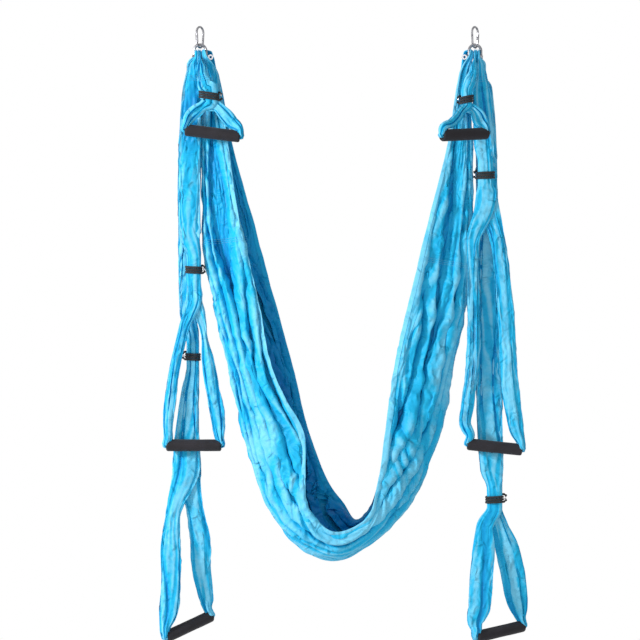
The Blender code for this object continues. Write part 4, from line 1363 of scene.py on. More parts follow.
STRAP_SHAPES = (
    StrapShape(
        side=Side.LEFT, lane=Lane.SHORT, layer=-0.030, grip_layer=-0.036, drop=0.182, lean_share=1.24,
        tilt=-7, turn=0, neck_share=0.90, leg_share=1.12, tie_drop_share=0.506, tie_lean_share=0.90,
        tie_width_share=0.84, tie_travel_share=0.4, split_drop_share=0.593, split_lean_share=1.08,
        crimp_side=1, tie_slope=-0.10,
        upper_shares=((0.40, 0.26, 0.60), (0.62, 0.50, 0.76), (0.80, 0.74, 0.86)),
        lower_shares=(),
        left_leg_shares=((0.18, 0.27, 1.00), (0.40, 0.53, 1.20), (0.68, 0.78, 1.15)),
        right_leg_shares=((0.18, 0.24, 1.00), (0.40, 0.44, 1.20), (0.70, 0.70, 1.25)),
    ),
    StrapShape(
        side=Side.LEFT, lane=Lane.MIDDLE, layer=-0.006, grip_layer=-0.006, drop=0.917,
        lean_share=-0.576, tilt=0, turn=0, neck_share=1.00, leg_share=1.16, tie_drop_share=0.547,
        tie_lean_share=-0.568, tie_width_share=0.68, tie_travel_share=1, split_drop_share=0.658,
        split_lean_share=-0.52, crimp_side=1, tie_slope=0.0,
        upper_shares=(
            (0.060, -0.62, 0.58), (0.13, -0.70, 0.82), (0.25, -0.82, 0.98), (0.55, -0.98, 1.02),
            (0.82, -0.98, 1.00),
        ),
        lower_shares=((0.60, -0.55, 0.76),),
        left_leg_shares=((0.14, 0.38, 0.88), (0.47, 0.72, 0.97), (0.74, 0.89, 1.00), (0.92, 0.96, 0.85)),
        right_leg_shares=(
            (0.10, 0.30, 0.66), (0.19, 0.37, 0.55), (0.39, 0.51, 1.12), (0.64, 0.69, 1.20),
            (0.87, 0.88, 1.12),
        ),
    ),
    StrapShape(
        side=Side.LEFT, lane=Lane.LONG, layer=0.0185, grip_layer=0.0185, drop=1.347, lean_share=-1.088,
        tilt=20, turn=30, neck_share=1.24, leg_share=1.84, tie_drop_share=0.525, tie_lean_share=-0.708,
        tie_width_share=0.60, tie_travel_share=1, split_drop_share=0.742, split_lean_share=-1.42,
        crimp_side=-1, tie_slope=-0.10,
        upper_shares=(
            (0.065, -0.40, 0.40), (0.10, -0.58, 0.74), (0.40, -0.82, 0.86), (0.62, -0.90, 0.80),
            (0.84, -0.94, 0.68),
        ),
        lower_shares=((0.30, -0.80, 0.66), (0.48, -0.94, 0.80), (0.70, -1.03, 0.98), (0.88, -1.04, 1.08)),
        left_leg_shares=((0.22, 0.56, 0.80), (0.476, 0.71, 1.08), (0.66, 0.71, 1.06), (0.89, 0.87, 0.96)),
        right_leg_shares=(
            (0.22, 0.38, 0.92), (0.476, 0.58, 1.10), (0.66, 0.59, 1.04), (0.90, 0.76, 0.80),
        ),
    ),
    StrapShape(
        side=Side.RIGHT, lane=Lane.SHORT, layer=-0.030, grip_layer=-0.070, drop=0.187,
        lean_share=-1.136, tilt=4, turn=32, neck_share=0.76, leg_share=1.00, tie_drop_share=0.540,
        tie_lean_share=-0.84, tie_width_share=0.52, tie_travel_share=0.4, split_drop_share=0.620,
        split_lean_share=-0.98, crimp_side=-1, tie_slope=0.12,
        upper_shares=((0.36, -0.34, 0.56), (0.58, -0.72, 0.78)),
        lower_shares=(),
        left_leg_shares=((0.22, 0.14, 0.90), (0.46, 0.30, 1.00), (0.74, 0.56, 1.00)),
        right_leg_shares=((0.22, 0.40, 1.00), (0.46, 0.58, 1.40), (0.74, 0.72, 1.45)),
    ),
    StrapShape(
        side=Side.RIGHT, lane=Lane.MIDDLE, layer=-0.006, grip_layer=-0.006, drop=0.921,
        lean_share=1.844, tilt=-6, turn=0, neck_share=1.00, leg_share=1.40, tie_drop_share=0.302,
        tie_lean_share=0.992, tie_width_share=0.74, tie_travel_share=1, split_drop_share=0.367,
        split_lean_share=1.08, crimp_side=-1, tie_slope=-0.02,
        upper_shares=((0.115, 0.46, 0.56), (0.23, 0.52, 0.80), (0.40, 0.68, 0.92), (0.75, 0.84, 0.96)),
        lower_shares=((0.70, 1.06, 1.00),),
        left_leg_shares=(
            (0.20, 0.58, 0.90), (0.50, 0.61, 0.96), (0.68, 0.70, 1.00), (0.87, 0.97, 0.98),
            (0.94, 1.05, 0.86),
        ),
        right_leg_shares=(
            (0.20, 0.40, 1.10), (0.50, 0.58, 1.14), (0.75, 0.62, 1.28), (0.88, 0.75, 1.16),
            (0.95, 0.83, 1.00),
        ),
    ),
    StrapShape(
        side=Side.RIGHT, lane=Lane.LONG, layer=0.0185, grip_layer=0.0185, drop=1.359, lean_share=2.412,
        tilt=9, turn=26, neck_share=1.20, leg_share=2.16, tie_drop_share=0.769, tie_lean_share=1.892,
        tie_width_share=0.74, tie_travel_share=0.667, split_drop_share=0.792, split_lean_share=1.984,
        crimp_side=1, tie_slope=0.10,
        upper_shares=(
            (0.045, 0.45, 0.42), (0.07, 0.65, 0.75), (0.35, 1.02, 0.87), (0.86, 1.25, 1.00),
            (0.93, 1.38, 0.92),
        ),
        lower_shares=(),
        left_leg_shares=(
            (0.13, 0.48, 0.76), (0.35, 0.57, 1.02), (0.56, 0.71, 1.04), (0.80, 0.84, 0.98),
            (0.94, 1.03, 0.66),
        ),
        right_leg_shares=(
            (0.13, 0.16, 0.78), (0.35, 0.42, 1.10), (0.56, 0.60, 1.12), (0.80, 0.74, 1.02),
            (0.92, 0.84, 0.76),
        ),
    ),
)


@dataclass
class GatheredStrap:
    """One strap: a band of gathered cloth over the pin, through its tie and through its grip.

    Each of its rows holds a centre, a half width, an outward and an inward thickness, and how much
    of it is neck, from 1 at the pin to 0 in a leg.
    """

    shape: StrapShape
    finishes: Finishes
    seed: int
    columns: int = 300
    row_step: float = 0.0055
    loop_step: float = 0.0022
    lap_share: float = 0.03
    lap_edge_share: float = 0.01
    lap_width_share: float = 0.1
    lap_thickness: float = 0.0009
    neck_slit: float = 0.0012
    neck_outer: float = 0.0080
    neck_inner: float = 0.0010
    leg_thickness: float = 0.0065
    least_thickness: float = 0.001
    roundness: float = 0.92
    fan_end: float = 0.026
    loop_angles: tuple = (0, 45, 90)
    # How far the neck has opened between the pin and its first row, by share of the way down
    throat_shares: tuple = ((0.25, 0.50), (0.50, 0.85), (0.75, 0.98))
    short_throat_shares: tuple = ((0.25, 0.15), (0.50, 0.55), (0.75, 0.90))
    tie_half_height: float = 0.0105
    legs_part_share: float = 0.30
    bend_rise: float = 0.015
    core: float = 0.0068
    stitch_drop: float = 0.052
    stitch_reach: float = 0.004
    stitch_span_shares: tuple = (0.34, 0.62)
    cut_widths: dict[Lane, float] = field(
        default_factory=lambda: {Lane.SHORT: 0.11, Lane.MIDDLE: 0.16, Lane.LONG: 0.18}
    )
    fold_width_share: float = 0.8
    fold_room_share: float = 0.62
    fold_wall_share: float = 0.78
    # Weight of the broad folds in the tone that the nylon paints shade and light by
    broad_painted_shading_share: float = 0.74
    crinkled_width: float = 0.2
    full_relief_fold: float = 0.005
    least_relief_share: float = 0.1
    tie_relief_share: float = 0.08
    valley_calm_share: float = 0.75
    # The seeds of these are added to the strap's own seed. Half a fold of the strap is like the
    # sheet's, but without its lap
    broad: Folds = Folds(
        count=5, seed=0, unevenness=0.8, run=0.34, depth_to_pitch=0.5, tilt_share=0.45,
        profile_shares=(
            (0.00, 1.00), (0.03, 0.92), (0.06, 0.66), (0.09, 0.38), (0.14, 0.14), (0.24, 0.03),
            (0.36, 0.00), (0.50, 0.00),
        ),
    )
    narrow: Folds = Folds(count=9, depth=0.22, seed=3, wander=1.4, unevenness=0.9, run=0.16, lapped=False)
    crinkles: Crinkles = Crinkles(height=0.0042, length=0.040, seed=50)
    creases: Crinkles = Crinkles(height=0.0022, length=0.018, seed=90)
    # Rows of the bend round the grip's end: place beyond the end, height, half width, half depth
    bend_rows: tuple = (
        (-0.0036, 0.0165, 0.0122, 0.0150), (-0.0006, 0.0070, 0.0104, 0.0150),
        (0.0020, 0.0005, 0.0084, 0.0110), (-0.0080, 0.0000, 0.0068, 0.0068),
    )

    @property
    def cut_width(self) -> float:
        """The width that the strap's cloth was cut to."""
        return self.cut_widths[self.shape.lane]

    @property
    def tie_room(self) -> float:
        """Half the length of even neck that the tie sits on and slides along."""
        return self.tie_half_height + self.shape.tie_travel_share * self.shape.tie_travel_base

    @property
    def lane(self) -> float:
        """Sideways place of the strap's lane from the middle of the pin."""
        return self.shape.side.inward * LAYOUT.lane_offset(self.shape.lane)

    def own(self, pattern: Folds | Crinkles) -> Folds | Crinkles:
        """A pattern with the strap's own seed."""
        return replace(pattern, seed=self.seed + pattern.seed)

    def neck_key(self, down: float, lean: float, half_width: float, way: int) -> np.ndarray:
        """One row of the neck.

        Args:
            down: Distance below the pin.
            lean: Sideways place from the pin's middle.
            half_width: Half the neck's width there.
            way: -1 for the front half of the neck, 1 for the back half.

        Returns:
            The row.
        """
        fan = smooth_step(down / self.fan_end)
        loop_half = LAYOUT.loop_thickness / 2
        spread = LAYOUT.loop_middle + (self.neck_inner + self.neck_slit / 2 - LAYOUT.loop_middle) * fan
        outward = loop_half + LAYOUT.loop_puff + (self.neck_outer - loop_half - LAYOUT.loop_puff) * fan
        inward = loop_half + (self.neck_inner - loop_half) * fan
        centre = LAYOUT.pin(self.shape.side) + np.array((lean, self.shape.layer * fan + way * spread, -down))
        return np.array((*centre, half_width, outward, inward, 1.0))

    def loop_keys(self, way: int) -> list[np.ndarray]:
        """Rows from over the pin down to its height.

        Args:
            way: -1 for the front half, 1 for the back half.

        Returns:
            One row for each angle.
        """
        lane = LAYOUT.pin(self.shape.side) + X_AXIS * self.lane
        rows = []
        for degrees in self.loop_angles:
            angle = math.radians(degrees)
            out = np.array((0, way * math.sin(angle), math.cos(angle)))
            wide = LAYOUT.strap_lane / 2 * (1 + math.sin(angle))
            inward = LAYOUT.loop_thickness / 2
            outward = inward + LAYOUT.loop_puff * math.sin(angle)
            rows.append(np.array((*(lane + out * LAYOUT.loop_middle), wide, outward, inward, 1.0)))
        return rows

    def keys(self, way: int) -> np.ndarray:
        """Rows of half the strap, from over the pin to the middle of its grip.

        Args:
            way: -1 for the front half, which ends in the left leg, 1 for the back half.

        Returns:
            One row for each station.
        """
        shape, lane = self.shape, self.lane
        neck, half_lane = shape.neck_share * shape.half_width, LAYOUT.strap_lane / 2
        tie_drop, split_drop = shape.tie_drop_share * shape.drop, shape.split_drop_share * shape.drop
        tie_lean, tie_half = shape.tie_lean_share * shape.half_width, shape.tie_half_width
        down_share, first_lean, first_width = shape.upper_shares[0]
        stations = []
        for down, opened in self.short_throat_shares if shape.lane is Lane.SHORT else self.throat_shares:
            lean = lane + (first_lean * neck - lane) * opened
            width = half_lane + (first_width * neck - half_lane) * opened
            stations.append((down * down_share * tie_drop, lean, width))
        for down, lean, width in shape.upper_shares:
            stations.append((down * tie_drop, lean * neck, width * neck))
        stations.append((tie_drop - self.tie_room, tie_lean, tie_half))
        stations.append((min(tie_drop + self.tie_room, split_drop), tie_lean, tie_half))
        for down, lean, width in shape.lower_shares:
            stations.append((tie_drop + down * (split_drop - tie_drop), lean * neck, width * neck))
        rows = [self.neck_key(*station, way) for station in stations]
        return np.array(self.loop_keys(way) + rows + self.leg_keys(way, split_drop))

    def leg_keys(self, way: int, split_drop: float) -> list[np.ndarray]:
        """Rows of a leg, its bend round the grip's end, and its run inside the tube.

        Args:
            way: -1 for the left leg, 1 for the right leg.
            split_drop: How far below the pin the legs part.

        Returns:
            One row for each station.
        """
        shape = self.shape
        pin = LAYOUT.pin(shape.side)
        run = shape.grip_run * way
        end = shape.grip_centre + run * shape.grip_length / 2
        split_lean = shape.split_lean_share * shape.half_width
        lean_end = shape.lean_share * shape.half_width
        reach = abs(run[0]) * shape.grip_length / 2
        neck_offset = self.neck_inner + self.neck_slit / 2
        rows = []
        for down, side, width in shape.right_leg_shares if way > 0 else shape.left_leg_shares:
            apart = smooth_step(down / self.legs_part_share)
            centre = (
                pin[0] + split_lean + (lean_end - split_lean) * down + way * side * reach,
                shape.layer + (end[1] - shape.layer) * down + way * neck_offset * (1 - apart),
                pin[2] - split_drop + (end[2] + self.bend_rise - pin[2] + split_drop) * down,
            )
            half_width = width * shape.leg_share * shape.leg_base
            outward = self.neck_outer + (self.leg_thickness - self.neck_outer) * apart
            inner = self.neck_inner + (self.leg_thickness - self.neck_inner) * apart
            rows.append(np.array((*centre, half_width, outward, inner, 1 - apart)))
        rise = unit(Z_AXIS - run * run[2])
        for out, up, width, depth in self.bend_rows:
            rows.append(np.array((*(end + run * out + rise * up), width, depth, depth, 0.0)))
        rows.append(np.array((*shape.grip_centre, self.core, self.core, self.core, 0.0)))
        return rows

    def half(self, way: int) -> tuple[np.ndarray, np.ndarray, np.ndarray]:
        """Smooth rows of half the strap with their frames.

        Args:
            way: -1 for the front half, 1 for the back half.

        Returns:
            Rows, and the wide and outward directions of each.
        """
        keys = self.keys(way)
        last = len(keys) - 2
        near_pin = len(self.loop_angles) + len(self.throat_shares)
        near_grip = last - len(self.bend_rows)
        steps = [self.loop_step if i < near_pin or i > near_grip else self.row_step for i in range(last + 1)]
        rows, _ = rows_through(keys, keys[:, CENTRE], steps)
        run = np.gradient(rows[:, CENTRE], axis=0)
        run[0] = Y_AXIS * way
        run = unit(run)
        neck = np.clip(rows[:, NECK], 0, 1)
        wide = unit(neck * (X_AXIS - run * run[:, :1]) + (1 - neck) * np.cross(run, Y_AXIS))
        outward = np.cross(run, wide) if way < 0 else np.cross(wide, run)
        return rows, wide, outward

    def fold_size(self, rows: np.ndarray) -> np.ndarray:
        """Depth of the folds at each row, as far as its section has room.

        Args:
            rows: Rows of the strap.

        Returns:
            One depth for each row.
        """
        half_width, outward, inward = rows[:, HALF_WIDTH], rows[:, OUTWARD], rows[:, INWARD]
        room = np.minimum(outward + inward, half_width * self.fold_width_share)
        return np.minimum(room * self.fold_room_share, outward * self.fold_wall_share)

    def section(self, rows: np.ndarray, angle: np.ndarray, sink: np.ndarray) -> tuple[np.ndarray, np.ndarray]:
        """The rounded section of each row, with its folds pressed in.

        Args:
            rows: Rows of the strap.
            angle: Angle of each point round its section.
            sink: How far each point is pressed in.

        Returns:
            Places along the wide and the outward directions.
        """
        over, off = np.cos(angle), np.sin(angle)
        half_width = rows[:, HALF_WIDTH]
        thick = np.where(off > 0, rows[:, OUTWARD], rows[:, INWARD])
        x = half_width * np.sign(over) * np.abs(over) ** self.roundness
        y = thick * np.sign(off) * np.abs(off) ** self.roundness
        steep_x, steep_y = over / half_width, off / np.maximum(thick, self.least_thickness)
        slope = np.hypot(steep_x, steep_y)
        return x - steep_x / slope * sink, y - steep_y / slope * sink

    def lap(self, rows: np.ndarray, across: np.ndarray) -> np.ndarray:
        """How far the lapped rim lies beyond the rim that it covers.

        Args:
            rows: Rows of the strap.
            across: Share of the cloth's width, past 1 where it laps.

        Returns:
            One distance for each point.
        """
        edge = self.lap_edge_share
        rise = np.minimum(self.lap_thickness, rows[:, HALF_WIDTH] * self.lap_width_share)
        return smooth_step((across - 1 + edge) / (2 * edge)) * rise * (1 - np.clip(rows[:, NECK], 0, 1))

    def calm_at_tie(self, rows: np.ndarray) -> np.ndarray:
        """How much of the creases each row keeps, with little where the tie holds or slides.

        Args:
            rows: Rows of the strap.

        Returns:
            One share for each row.
        """
        height = LAYOUT.pin(self.shape.side)[2] - self.shape.tie_drop_share * self.shape.drop
        away = (np.abs(rows[:, HEIGHT] - height) - self.tie_room) / (2 * self.tie_half_height)
        return self.tie_relief_share + (1 - self.tie_relief_share) * smooth_step(away)

    def cloth(self) -> ClothGrid:
        """The folded strap.

        Returns:
            Its grid of points, from the grip's middle up the front, over the pin and down the back.
        """
        halves = [self.half(-1), self.half(1)]
        rows, wide, outward = (np.concatenate((a[::-1], b[1:])) for a, b in zip(*halves))
        widths = np.linspace(0, 1 + self.lap_share, self.columns)
        across, length = np.meshgrid(widths, length_along(rows[:, CENTRE]))
        shift, depth, ridge = self.own(self.broad).measure(across, length)
        _, fine, _ = self.own(self.narrow).measure(across, length)
        angle = TAU * (across + shift) - TAU / 4
        # The folds fade at the section's edges, and where the neck's halves face each other
        off = np.sin(angle)
        face = np.where(off > 0, 1, 1 - np.clip(rows[:, NECK], 0, 1)) * np.sqrt(np.abs(off))
        size = self.fold_size(rows)
        x, y = self.section(rows, angle, depth * size * face)
        y = y - self.lap(rows, across)
        centre = rows[:, None, CENTRE]
        points = centre + wide[:, None] * x[..., None] + outward[:, None] * y[..., None]
        flat = np.stack((across * self.cut_width, length), axis=-1)
        inward = ClothGrid(points, flat, ridge).normals_towards(centre - points)
        points = points + inward * (fine_sink(fine, ridge) * self.narrow.depth * face * size)[..., None]
        # The strap's tone, by which the nylon paints shade in the folds and light on their tops
        grid = ClothGrid(points, flat, painted_fold_shading(depth * face, fine, self.broad_painted_shading_share))
        inward = grid.normals_towards(centre - points)
        stretched = across * self.crinkled_width
        relief = sum(self.own(pattern).rise(stretched, length) for pattern in (self.crinkles, self.creases))
        relief = relief * np.clip(size / self.full_relief_fold, self.least_relief_share, 1)
        relief = relief * self.calm_at_tie(rows) * (1 - self.valley_calm_share * depth * face)
        grid.points = points + inward * relief[..., None]
        return grid

    def stitch_lines(self, grid: ClothGrid) -> list[StitchLine]:
        """Three rows of stitches across the front of the neck, just below the pin.

        Args:
            grid: The strap's grid.

        Returns:
            Points and normals of each row.
        """
        middles = grid.points.mean(axis=1)
        front = middles[: math.ceil(len(middles) / 2), 1] < self.shape.layer + self.stitch_reach
        height = LAYOUT.pin(self.shape.side)[2] - self.stitch_drop
        nearest = min(np.flatnonzero(front), key=lambda i: abs(middles[i, 2] - height))
        first, last = (int(self.columns * share) for share in self.stitch_span_shares)
        return grid.stitch_lines(nearest, slice(first, last))

    def build(self) -> list[bpy.types.Object]:
        """Makes the strap and its stitches and hangs them on their body.

        Returns:
            The strap and its stitches.
        """
        grid = self.cloth()
        name = self.shape.name
        strap = grid.build(f"{name}_strap_cloth", self.finishes.nylon)
        stitches = Stitching(pitch=0.003, stitch=0.0021).build(
            f"{name}_strap_stitches", self.stitch_lines(grid), self.finishes.thread
        )
        length = float(grid.flat[-1, 0, 1])
        LOG.info("%s strap: %.3f square metres over %.2f m", name, grid.area(), length)
        for piece in (strap, stitches):
            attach(piece, f"{name}_strap")
        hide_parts(f"{name}_strap")
        self.cut_width
        return [strap, stitches]


@dataclass
class Handle:
    """A foam grip over its core tube."""

    shape: StrapShape
    finishes: Finishes
    radius: float = 0.0140
    rounding: float = 0.0045
    tube_radius: float = 0.0095
    tube_bore: float = 0.0077
    tube_edge: float = 0.0004
    recess: float = 0.002
    gap: float = 0.0003
    bore_lip: float = 0.0012
    skin_start: float = 0.002
    hollow_depth: float = 0.00022
    hollow_seed: int = 71
    hollows_a_metre: float = 60
    hollows_round: float = 2
    sides: int = 72
    corner_steps: int = 6
    body_steps: int = 30

    def turned(self, profile: list[tuple[float, float]], hollow_depth: float = 0.0) -> ClothGrid:
        """A closed ring turned about the grip's axis.

        Args:
            profile: Radius and place along the axis of each point, round the section.
            hollow_depth: Height of the foam's gentle hollows.

        Returns:
            The grid, one ring a row, with its first row again at the end.
        """
        run = self.shape.grip_run
        aside = unit(np.cross(run, Y_AXIS))
        other = np.cross(run, aside)
        angles = np.linspace(0, TAU, self.sides, endpoint=False)
        loop = np.array([*profile, profile[0]])
        radius, place = loop[:, :1], loop[:, 1:]
        hollow = SmoothNoise(self.hollow_seed).at(
            np.cos(angles)[None] * self.hollows_round + 9,
            np.sin(angles)[None] * self.hollows_round + place * self.hollows_a_metre,
        )
        outer = smooth_step((radius - self.tube_radius - self.skin_start) / self.skin_start)
        radius = radius + hollow_depth * hollow * outer
        ring = (aside * np.cos(angles)[:, None] + other * np.sin(angles)[:, None])[None]
        points = self.shape.grip_centre + run * place[..., None] + ring * radius[..., None]
        flat = np.stack(np.broadcast_arrays(angles[None] * self.radius, place), axis=-1)
        return ClothGrid(points, flat, np.ones(points.shape[:2]))

    def grip_profile(self) -> list[tuple[float, float]]:
        """The section of the foam, from its right end round to its bore.

        Returns:
            Radius and place along the axis of each point.
        """
        half, round_off = self.shape.grip_length / 2, self.rounding
        corner = [math.radians(90 * k / self.corner_steps) for k in range(self.corner_steps + 1)]
        start = self.radius - round_off
        right = [(start + round_off * math.sin(a), half - round_off * (1 - math.cos(a))) for a in corner]
        left = [(r, -z) for r, z in reversed(right)]
        places = np.linspace(half - round_off, round_off - half, self.body_steps)[1:-1]
        body = [(self.radius, z) for z in places]
        bore, lip = self.tube_radius + self.gap, self.bore_lip
        inside = [(bore + lip, -half), (bore, lip - half), (bore, half - lip), (bore + lip, half)]
        return [*right, *body, *left, *inside]

    def tube_profile(self) -> list[tuple[float, float]]:
        """The section of the tube, with a small edge broken at each corner.

        Returns:
            Radius and place along the axis of each point.
        """
        half, edge = self.shape.grip_length / 2 - self.recess, self.tube_edge
        outside = [(self.tube_radius - edge, half), (self.tube_radius, half - edge)]
        inside = [(self.tube_bore, half - edge), (self.tube_bore + edge, half)]
        far_outside = [(r, -z) for r, z in reversed(outside)]
        far_inside = [(r, -z) for r, z in reversed(inside)]
        return [*outside, *far_outside, *far_inside, *inside]

    def build(self) -> list[bpy.types.Object]:
        """Makes the grip and the tube and hangs them on their body.

        Returns:
            The grip and the tube.
        """
        name = self.shape.name
        foam = self.turned(self.grip_profile(), self.hollow_depth)
        grip = foam.build(f"{name}_foam_grip", self.finishes.foam, closed=True)
        tube = self.turned(self.tube_profile()).build(f"{name}_tube", self.finishes.tube, closed=True)
        for piece, node, slot in ((grip, "grip", "foam"), (tube, "core_tube", "tube")):
            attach(piece, f"{name}_handle")
            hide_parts(f"{name}_{node}")
        return [grip, tube]


@dataclass
class ElasticTie:
    """Braided elastic wound three times round a strap's neck, with its two short tails."""

    shape: StrapShape
    finishes: Finishes
    cord: float = 0.003
    band: float = 0.0054
    turns: int = 3
    pitch: float = 0.006
    gap: float = 0.0005
    ease_wide: float = 0.0006
    ease_deep: float = 0.0004
    neck_depth: float = 0.0096
    lead_angle: float = math.radians(32)
    lead_share: float = 0.9
    crimp_diameter: float = 0.0044
    crimp_length: float = 0.0055
    crimp_gap: float = 0.0006
    running_gap: float = 0.0003
    into_crimp: float = 0.001
    points_a_turn: int = 44
    corners_a_turn: int = 11
    step: float = 0.0009
    sides: int = 14
    tail: float = 0.006
    tail_points: int = 12
    # Points of a tail: place beside the crimp, place in depth, and height as a share of the tail
    tail_rows: tuple = ((0.0006, 0.0, 0.0), (0.0014, -0.0008, 0.45), (0.0032, -0.0022, 0.90))
    # Radius at each end of the elastic and next to it, as shares of the cord's width
    end_shares: tuple[float, float] = (0.025, 0.46)

    @property
    def crimp_end(self) -> float:
        """Height of the crimp's end above the middle of the tie."""
        return self.crimp_length / 2 + self.running_gap

    @property
    def crimp_x(self) -> float:
        """Sideways place of the crimp.

        Returns:
            The place from the middle of the tie.
        """
        reach = self.shape.tie_half_width + self.gap + self.cord / 2
        clear = reach / math.cos(math.pi / self.corners_a_turn)
        return self.shape.crimp_side * (clear + self.cord / 2 + self.crimp_gap + self.crimp_diameter / 2)

    def winding(self) -> np.ndarray:
        """The elastic's way out of the crimp, round the strap, and back into the crimp.

        Returns:
            Points of its centre line from the middle of the tie.
        """
        half_width = self.shape.tie_half_width + self.gap + self.cord / 2 + self.ease_wide
        half_depth = self.neck_depth + self.gap + self.cord / 2 + self.ease_deep
        top = self.turns * self.pitch / 2
        last_angle = TAU * self.turns - self.lead_angle
        angles = np.linspace(self.lead_angle, last_angle, self.turns * self.points_a_turn)
        sideways = self.shape.crimp_side * half_width * np.cos(angles)
        turns = np.stack((sideways, half_depth * np.sin(angles), top - self.pitch * angles / TAU), axis=1)
        lead = np.array(
            (
                (self.crimp_x, 0, self.crimp_end - self.into_crimp),
                (self.crimp_x, 0, self.crimp_end + self.cord * self.lead_share),
                ((self.crimp_x + turns[0, 0]) / 2, turns[0, 1] / 3, top),
            )
        )
        corners = turns[:: self.points_a_turn // self.corners_a_turn]
        keys = np.concatenate((lead, corners, turns[-1:], lead[::-1] * (1, -1, -1)))
        knots = length_along(keys)
        # A corner that falls on the last point is left out
        keep = np.concatenate(([True], np.diff(knots) > 1e-5))
        return curve_through(knots[keep], keys[keep], np.arange(0, knots[-1], self.step))

    def tail_route(self, way: int) -> np.ndarray:
        """One of the two ends that show beyond the crimp.

        Args:
            way: 1 for the end above the crimp, -1 for the end below it.

        Returns:
            Points of its centre line from the middle of the tie.
        """
        start = self.crimp_end - self.into_crimp
        keys = [
            (self.crimp_x + self.shape.crimp_side * out, back, way * (start + self.tail * up))
            for out, back, up in self.tail_rows
        ]
        return curve_through(np.arange(3.0), np.array(keys), np.linspace(0, 2, self.tail_points))

    def tube(self, route: np.ndarray) -> tuple[np.ndarray, np.ndarray, np.ndarray]:
        """A tube along a route with small closed ends, as flat and wide as the elastic.

        Args:
            route: Its centre line.

        Returns:
            Points, faces and flat coordinates.
        """
        route = route + Z_AXIS * route[:, :1] * self.shape.tie_slope
        radii = np.full(len(route), self.cord / 2)
        radii[0] = radii[-1] = self.cord * self.end_shares[0]
        radii[1] = radii[-2] = self.cord * self.end_shares[1]
        spread = radii[:, None, None] * (1, 1, self.band / self.cord)
        points = route[:, None] + rings_along(route, self.sides) * spread
        way_round = np.arange(self.sides) / self.sides * CORD_FLAT_WIDTH
        flat = np.stack(np.broadcast_arrays(way_round, length_along(route)[:, None]), axis=-1)
        return points.reshape(-1, 3), grid_faces(len(route), self.sides, True), flat.reshape(-1, 2)

    def build(self) -> list[bpy.types.Object]:
        """Makes the elastic and hangs it on its body.

        Returns:
            The elastic.
        """
        shape, name = self.shape, f"{self.shape.name}_tie_cord"
        centre = LAYOUT.pin(shape.side) + np.array(
            (shape.tie_lean_share * shape.half_width, shape.layer, -shape.tie_drop_share * shape.drop)
        )
        tubes = [self.tube(route) for route in (self.winding(), self.tail_route(1), self.tail_route(-1))]
        firsts = np.cumsum([0, *(len(points) for points, _, _ in tubes)])
        points = np.concatenate([points for points, _, _ in tubes]) + centre
        faces = np.concatenate([faces + first for (_, faces, _), first in zip(tubes, firsts)])
        flat = np.concatenate([flat for _, _, flat in tubes])
        cord = add_piece(name, mesh_from_arrays(name, points, faces, flat), self.finishes.elastic)
        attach(cord, f"{shape.name}_tie")
        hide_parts(f"{shape.name}_tie")
        return [cord]


@dataclass
class Fittings:
    """The plated hardware, whose solids stay and take a finish."""

    finishes: Finishes
    words: tuple = ("carabiner", "gate", "shackle", "crimp")
    weld_distance: float = 0.00002
    edge_width: float = 0.00035
    edge_angle: float = math.radians(42)

    def dress(self) -> int:
        """Gives each metal node its finish and smooth shading.

        Returns:
            How many nodes were dressed.
        """
        nodes = [node for name, node in frame["nodes"].items() if any(word in name for word in self.words)]
        for node in nodes:
            node.data.materials.clear()
            node.data.materials.append(self.finishes.plate)
            weld = node.modifiers.new("weld", "WELD")
            weld.merge_threshold = self.weld_distance
            bevel = node.modifiers.new("edges", "BEVEL")
            bevel.width = self.edge_width
            bevel.segments = 2
            bevel.limit_method = "ANGLE"
            bevel.angle_limit = self.edge_angle
            bevel.harden_normals = True
        return len(nodes)


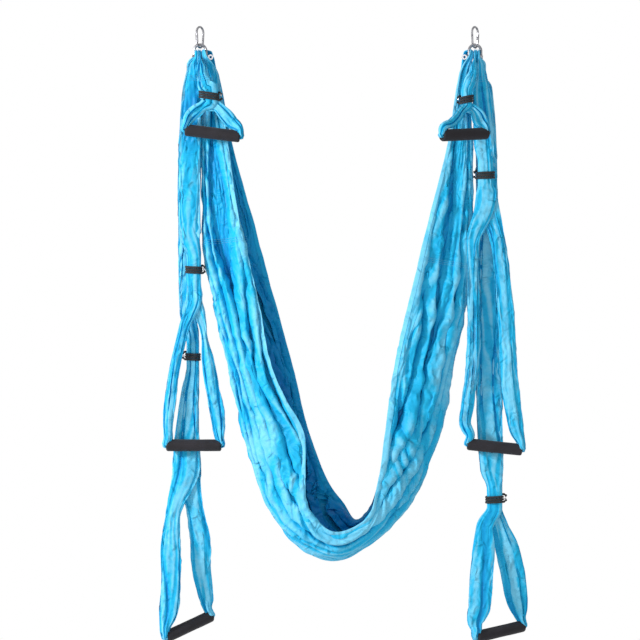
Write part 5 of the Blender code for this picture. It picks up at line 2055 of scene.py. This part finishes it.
@dataclass(frozen=True)
class Studio:
    """A pale floor, soft lamps, a white surround, and the camera."""

    centre: tuple[float, float, float] = (0.2836, 0.0, -0.6902)
    frame_width: float = 1.5127
    distance: float = 7.0
    sensor_width: float = 36
    floor_height: float = -1.80
    floor_radius: float = 2.4
    plain_level: float = 0.59
    # Name, place from the middle of the view, width and power in watts
    lamps: tuple = (("key", (-3.5, -2.0, 1.2), 0.7, 184), ("front", (0.2, -4.2, 0.6), 1.6, 23))

    def floor(self) -> None:
        """A round pale floor below the hammock."""
        place = (self.centre[0], 0, self.floor_height)
        bpy.ops.mesh.primitive_circle_add(
            vertices=96, radius=self.floor_radius, fill_type="NGON", location=place
        )
        disc = bpy.context.object
        disc.name = "studio_floor"
        shades = Shades("pale_floor")
        cloud = shades.noise(shades.coordinates("Object"), 3)
        colour = shades.ramp(cloud, (0.3, (0.86, 0.86, 0.86)), (0.7, (0.90, 0.90, 0.90)))
        rough = shades.spread(cloud, 0, 1, 0.8, 0.9)
        disc.data.materials.append(shades.finish(colour, rough, shades.bump(cloud, 0.02, 0.001)))

    def surround(self) -> None:
        """A white surround for the camera, with a plain level of light for the rest."""
        world = bpy.data.worlds.new("studio")
        world.use_nodes = True
        tree = world.node_tree
        background = tree.nodes["Background"]
        background.inputs["Color"].default_value = (1, 1, 1, 1)
        path = tree.nodes.new("ShaderNodeLightPath")
        seen = tree.nodes.new("ShaderNodeMath")
        seen.operation = "MAXIMUM"
        tree.links.new(path.outputs["Is Camera Ray"], seen.inputs[0])
        tree.links.new(path.outputs["Is Transmission Ray"], seen.inputs[1])
        level = tree.nodes.new("ShaderNodeMapRange")
        level.inputs["To Min"].default_value = self.plain_level
        tree.links.new(seen.outputs[0], level.inputs["Value"])
        tree.links.new(level.outputs[0], background.inputs["Strength"])
        bpy.context.scene.world = world

    def lamp(self, name: str, place: tuple[float, float, float], size: float, power: float) -> None:
        """A soft square lamp aimed at the hammock.

        Args:
            name: Its name.
            place: Its place from the middle of the view.
            size: Its width in metres.
            power: Its power in watts.
        """
        light = bpy.data.lights.new(name, "AREA")
        light.size, light.energy = size, power
        lamp = bpy.data.objects.new(name, light)
        lamp.location = Vector(self.centre) + Vector(place)
        lamp.rotation_euler = (Vector(self.centre) - lamp.location).to_track_quat("-Z", "Y").to_euler()
        bpy.context.scene.collection.objects.link(lamp)

    def camera(self) -> None:
        """A level camera straight in front, far enough away to flatten the view."""
        lens = bpy.data.cameras.new("camera")
        lens.sensor_width = self.sensor_width
        lens.lens = self.sensor_width * self.distance / self.frame_width
        lens.clip_end = 100
        eye = bpy.data.objects.new("camera", lens)
        eye.location = Vector(self.centre) - Vector((0, self.distance, 0))
        eye.rotation_euler = (math.radians(90), 0, 0)
        bpy.context.scene.collection.objects.link(eye)
        bpy.context.scene.camera = eye

    def build(self) -> None:
        """Sets up the whole studio."""
        self.floor()
        self.surround()
        for lamp in self.lamps:
            self.lamp(*lamp)
        self.camera()
        bpy.context.scene.view_settings.view_transform = "Standard"


def main() -> None:
    """Builds the studio, then each piece of the hammock."""
    logging.basicConfig(level=logging.INFO, format="%(message)s")
    Studio().build()
    finishes = Finishes.make()
    makers = [HammockSheet(finishes)]
    for number, shape in enumerate(STRAP_SHAPES):
        makers.append(GatheredStrap(shape, finishes, seed=100 + 7 * number))
        makers.append(Handle(shape, finishes))
        makers.append(ElasticTie(shape, finishes))
    for maker in makers:
        for piece in maker.build():
            LOG.info("made %s", piece.name)
    LOG.info("dressed %d metal nodes", Fittings(finishes).dress())


if __name__ == "__main__":
    main()
    bpy.context.view_layer.update()
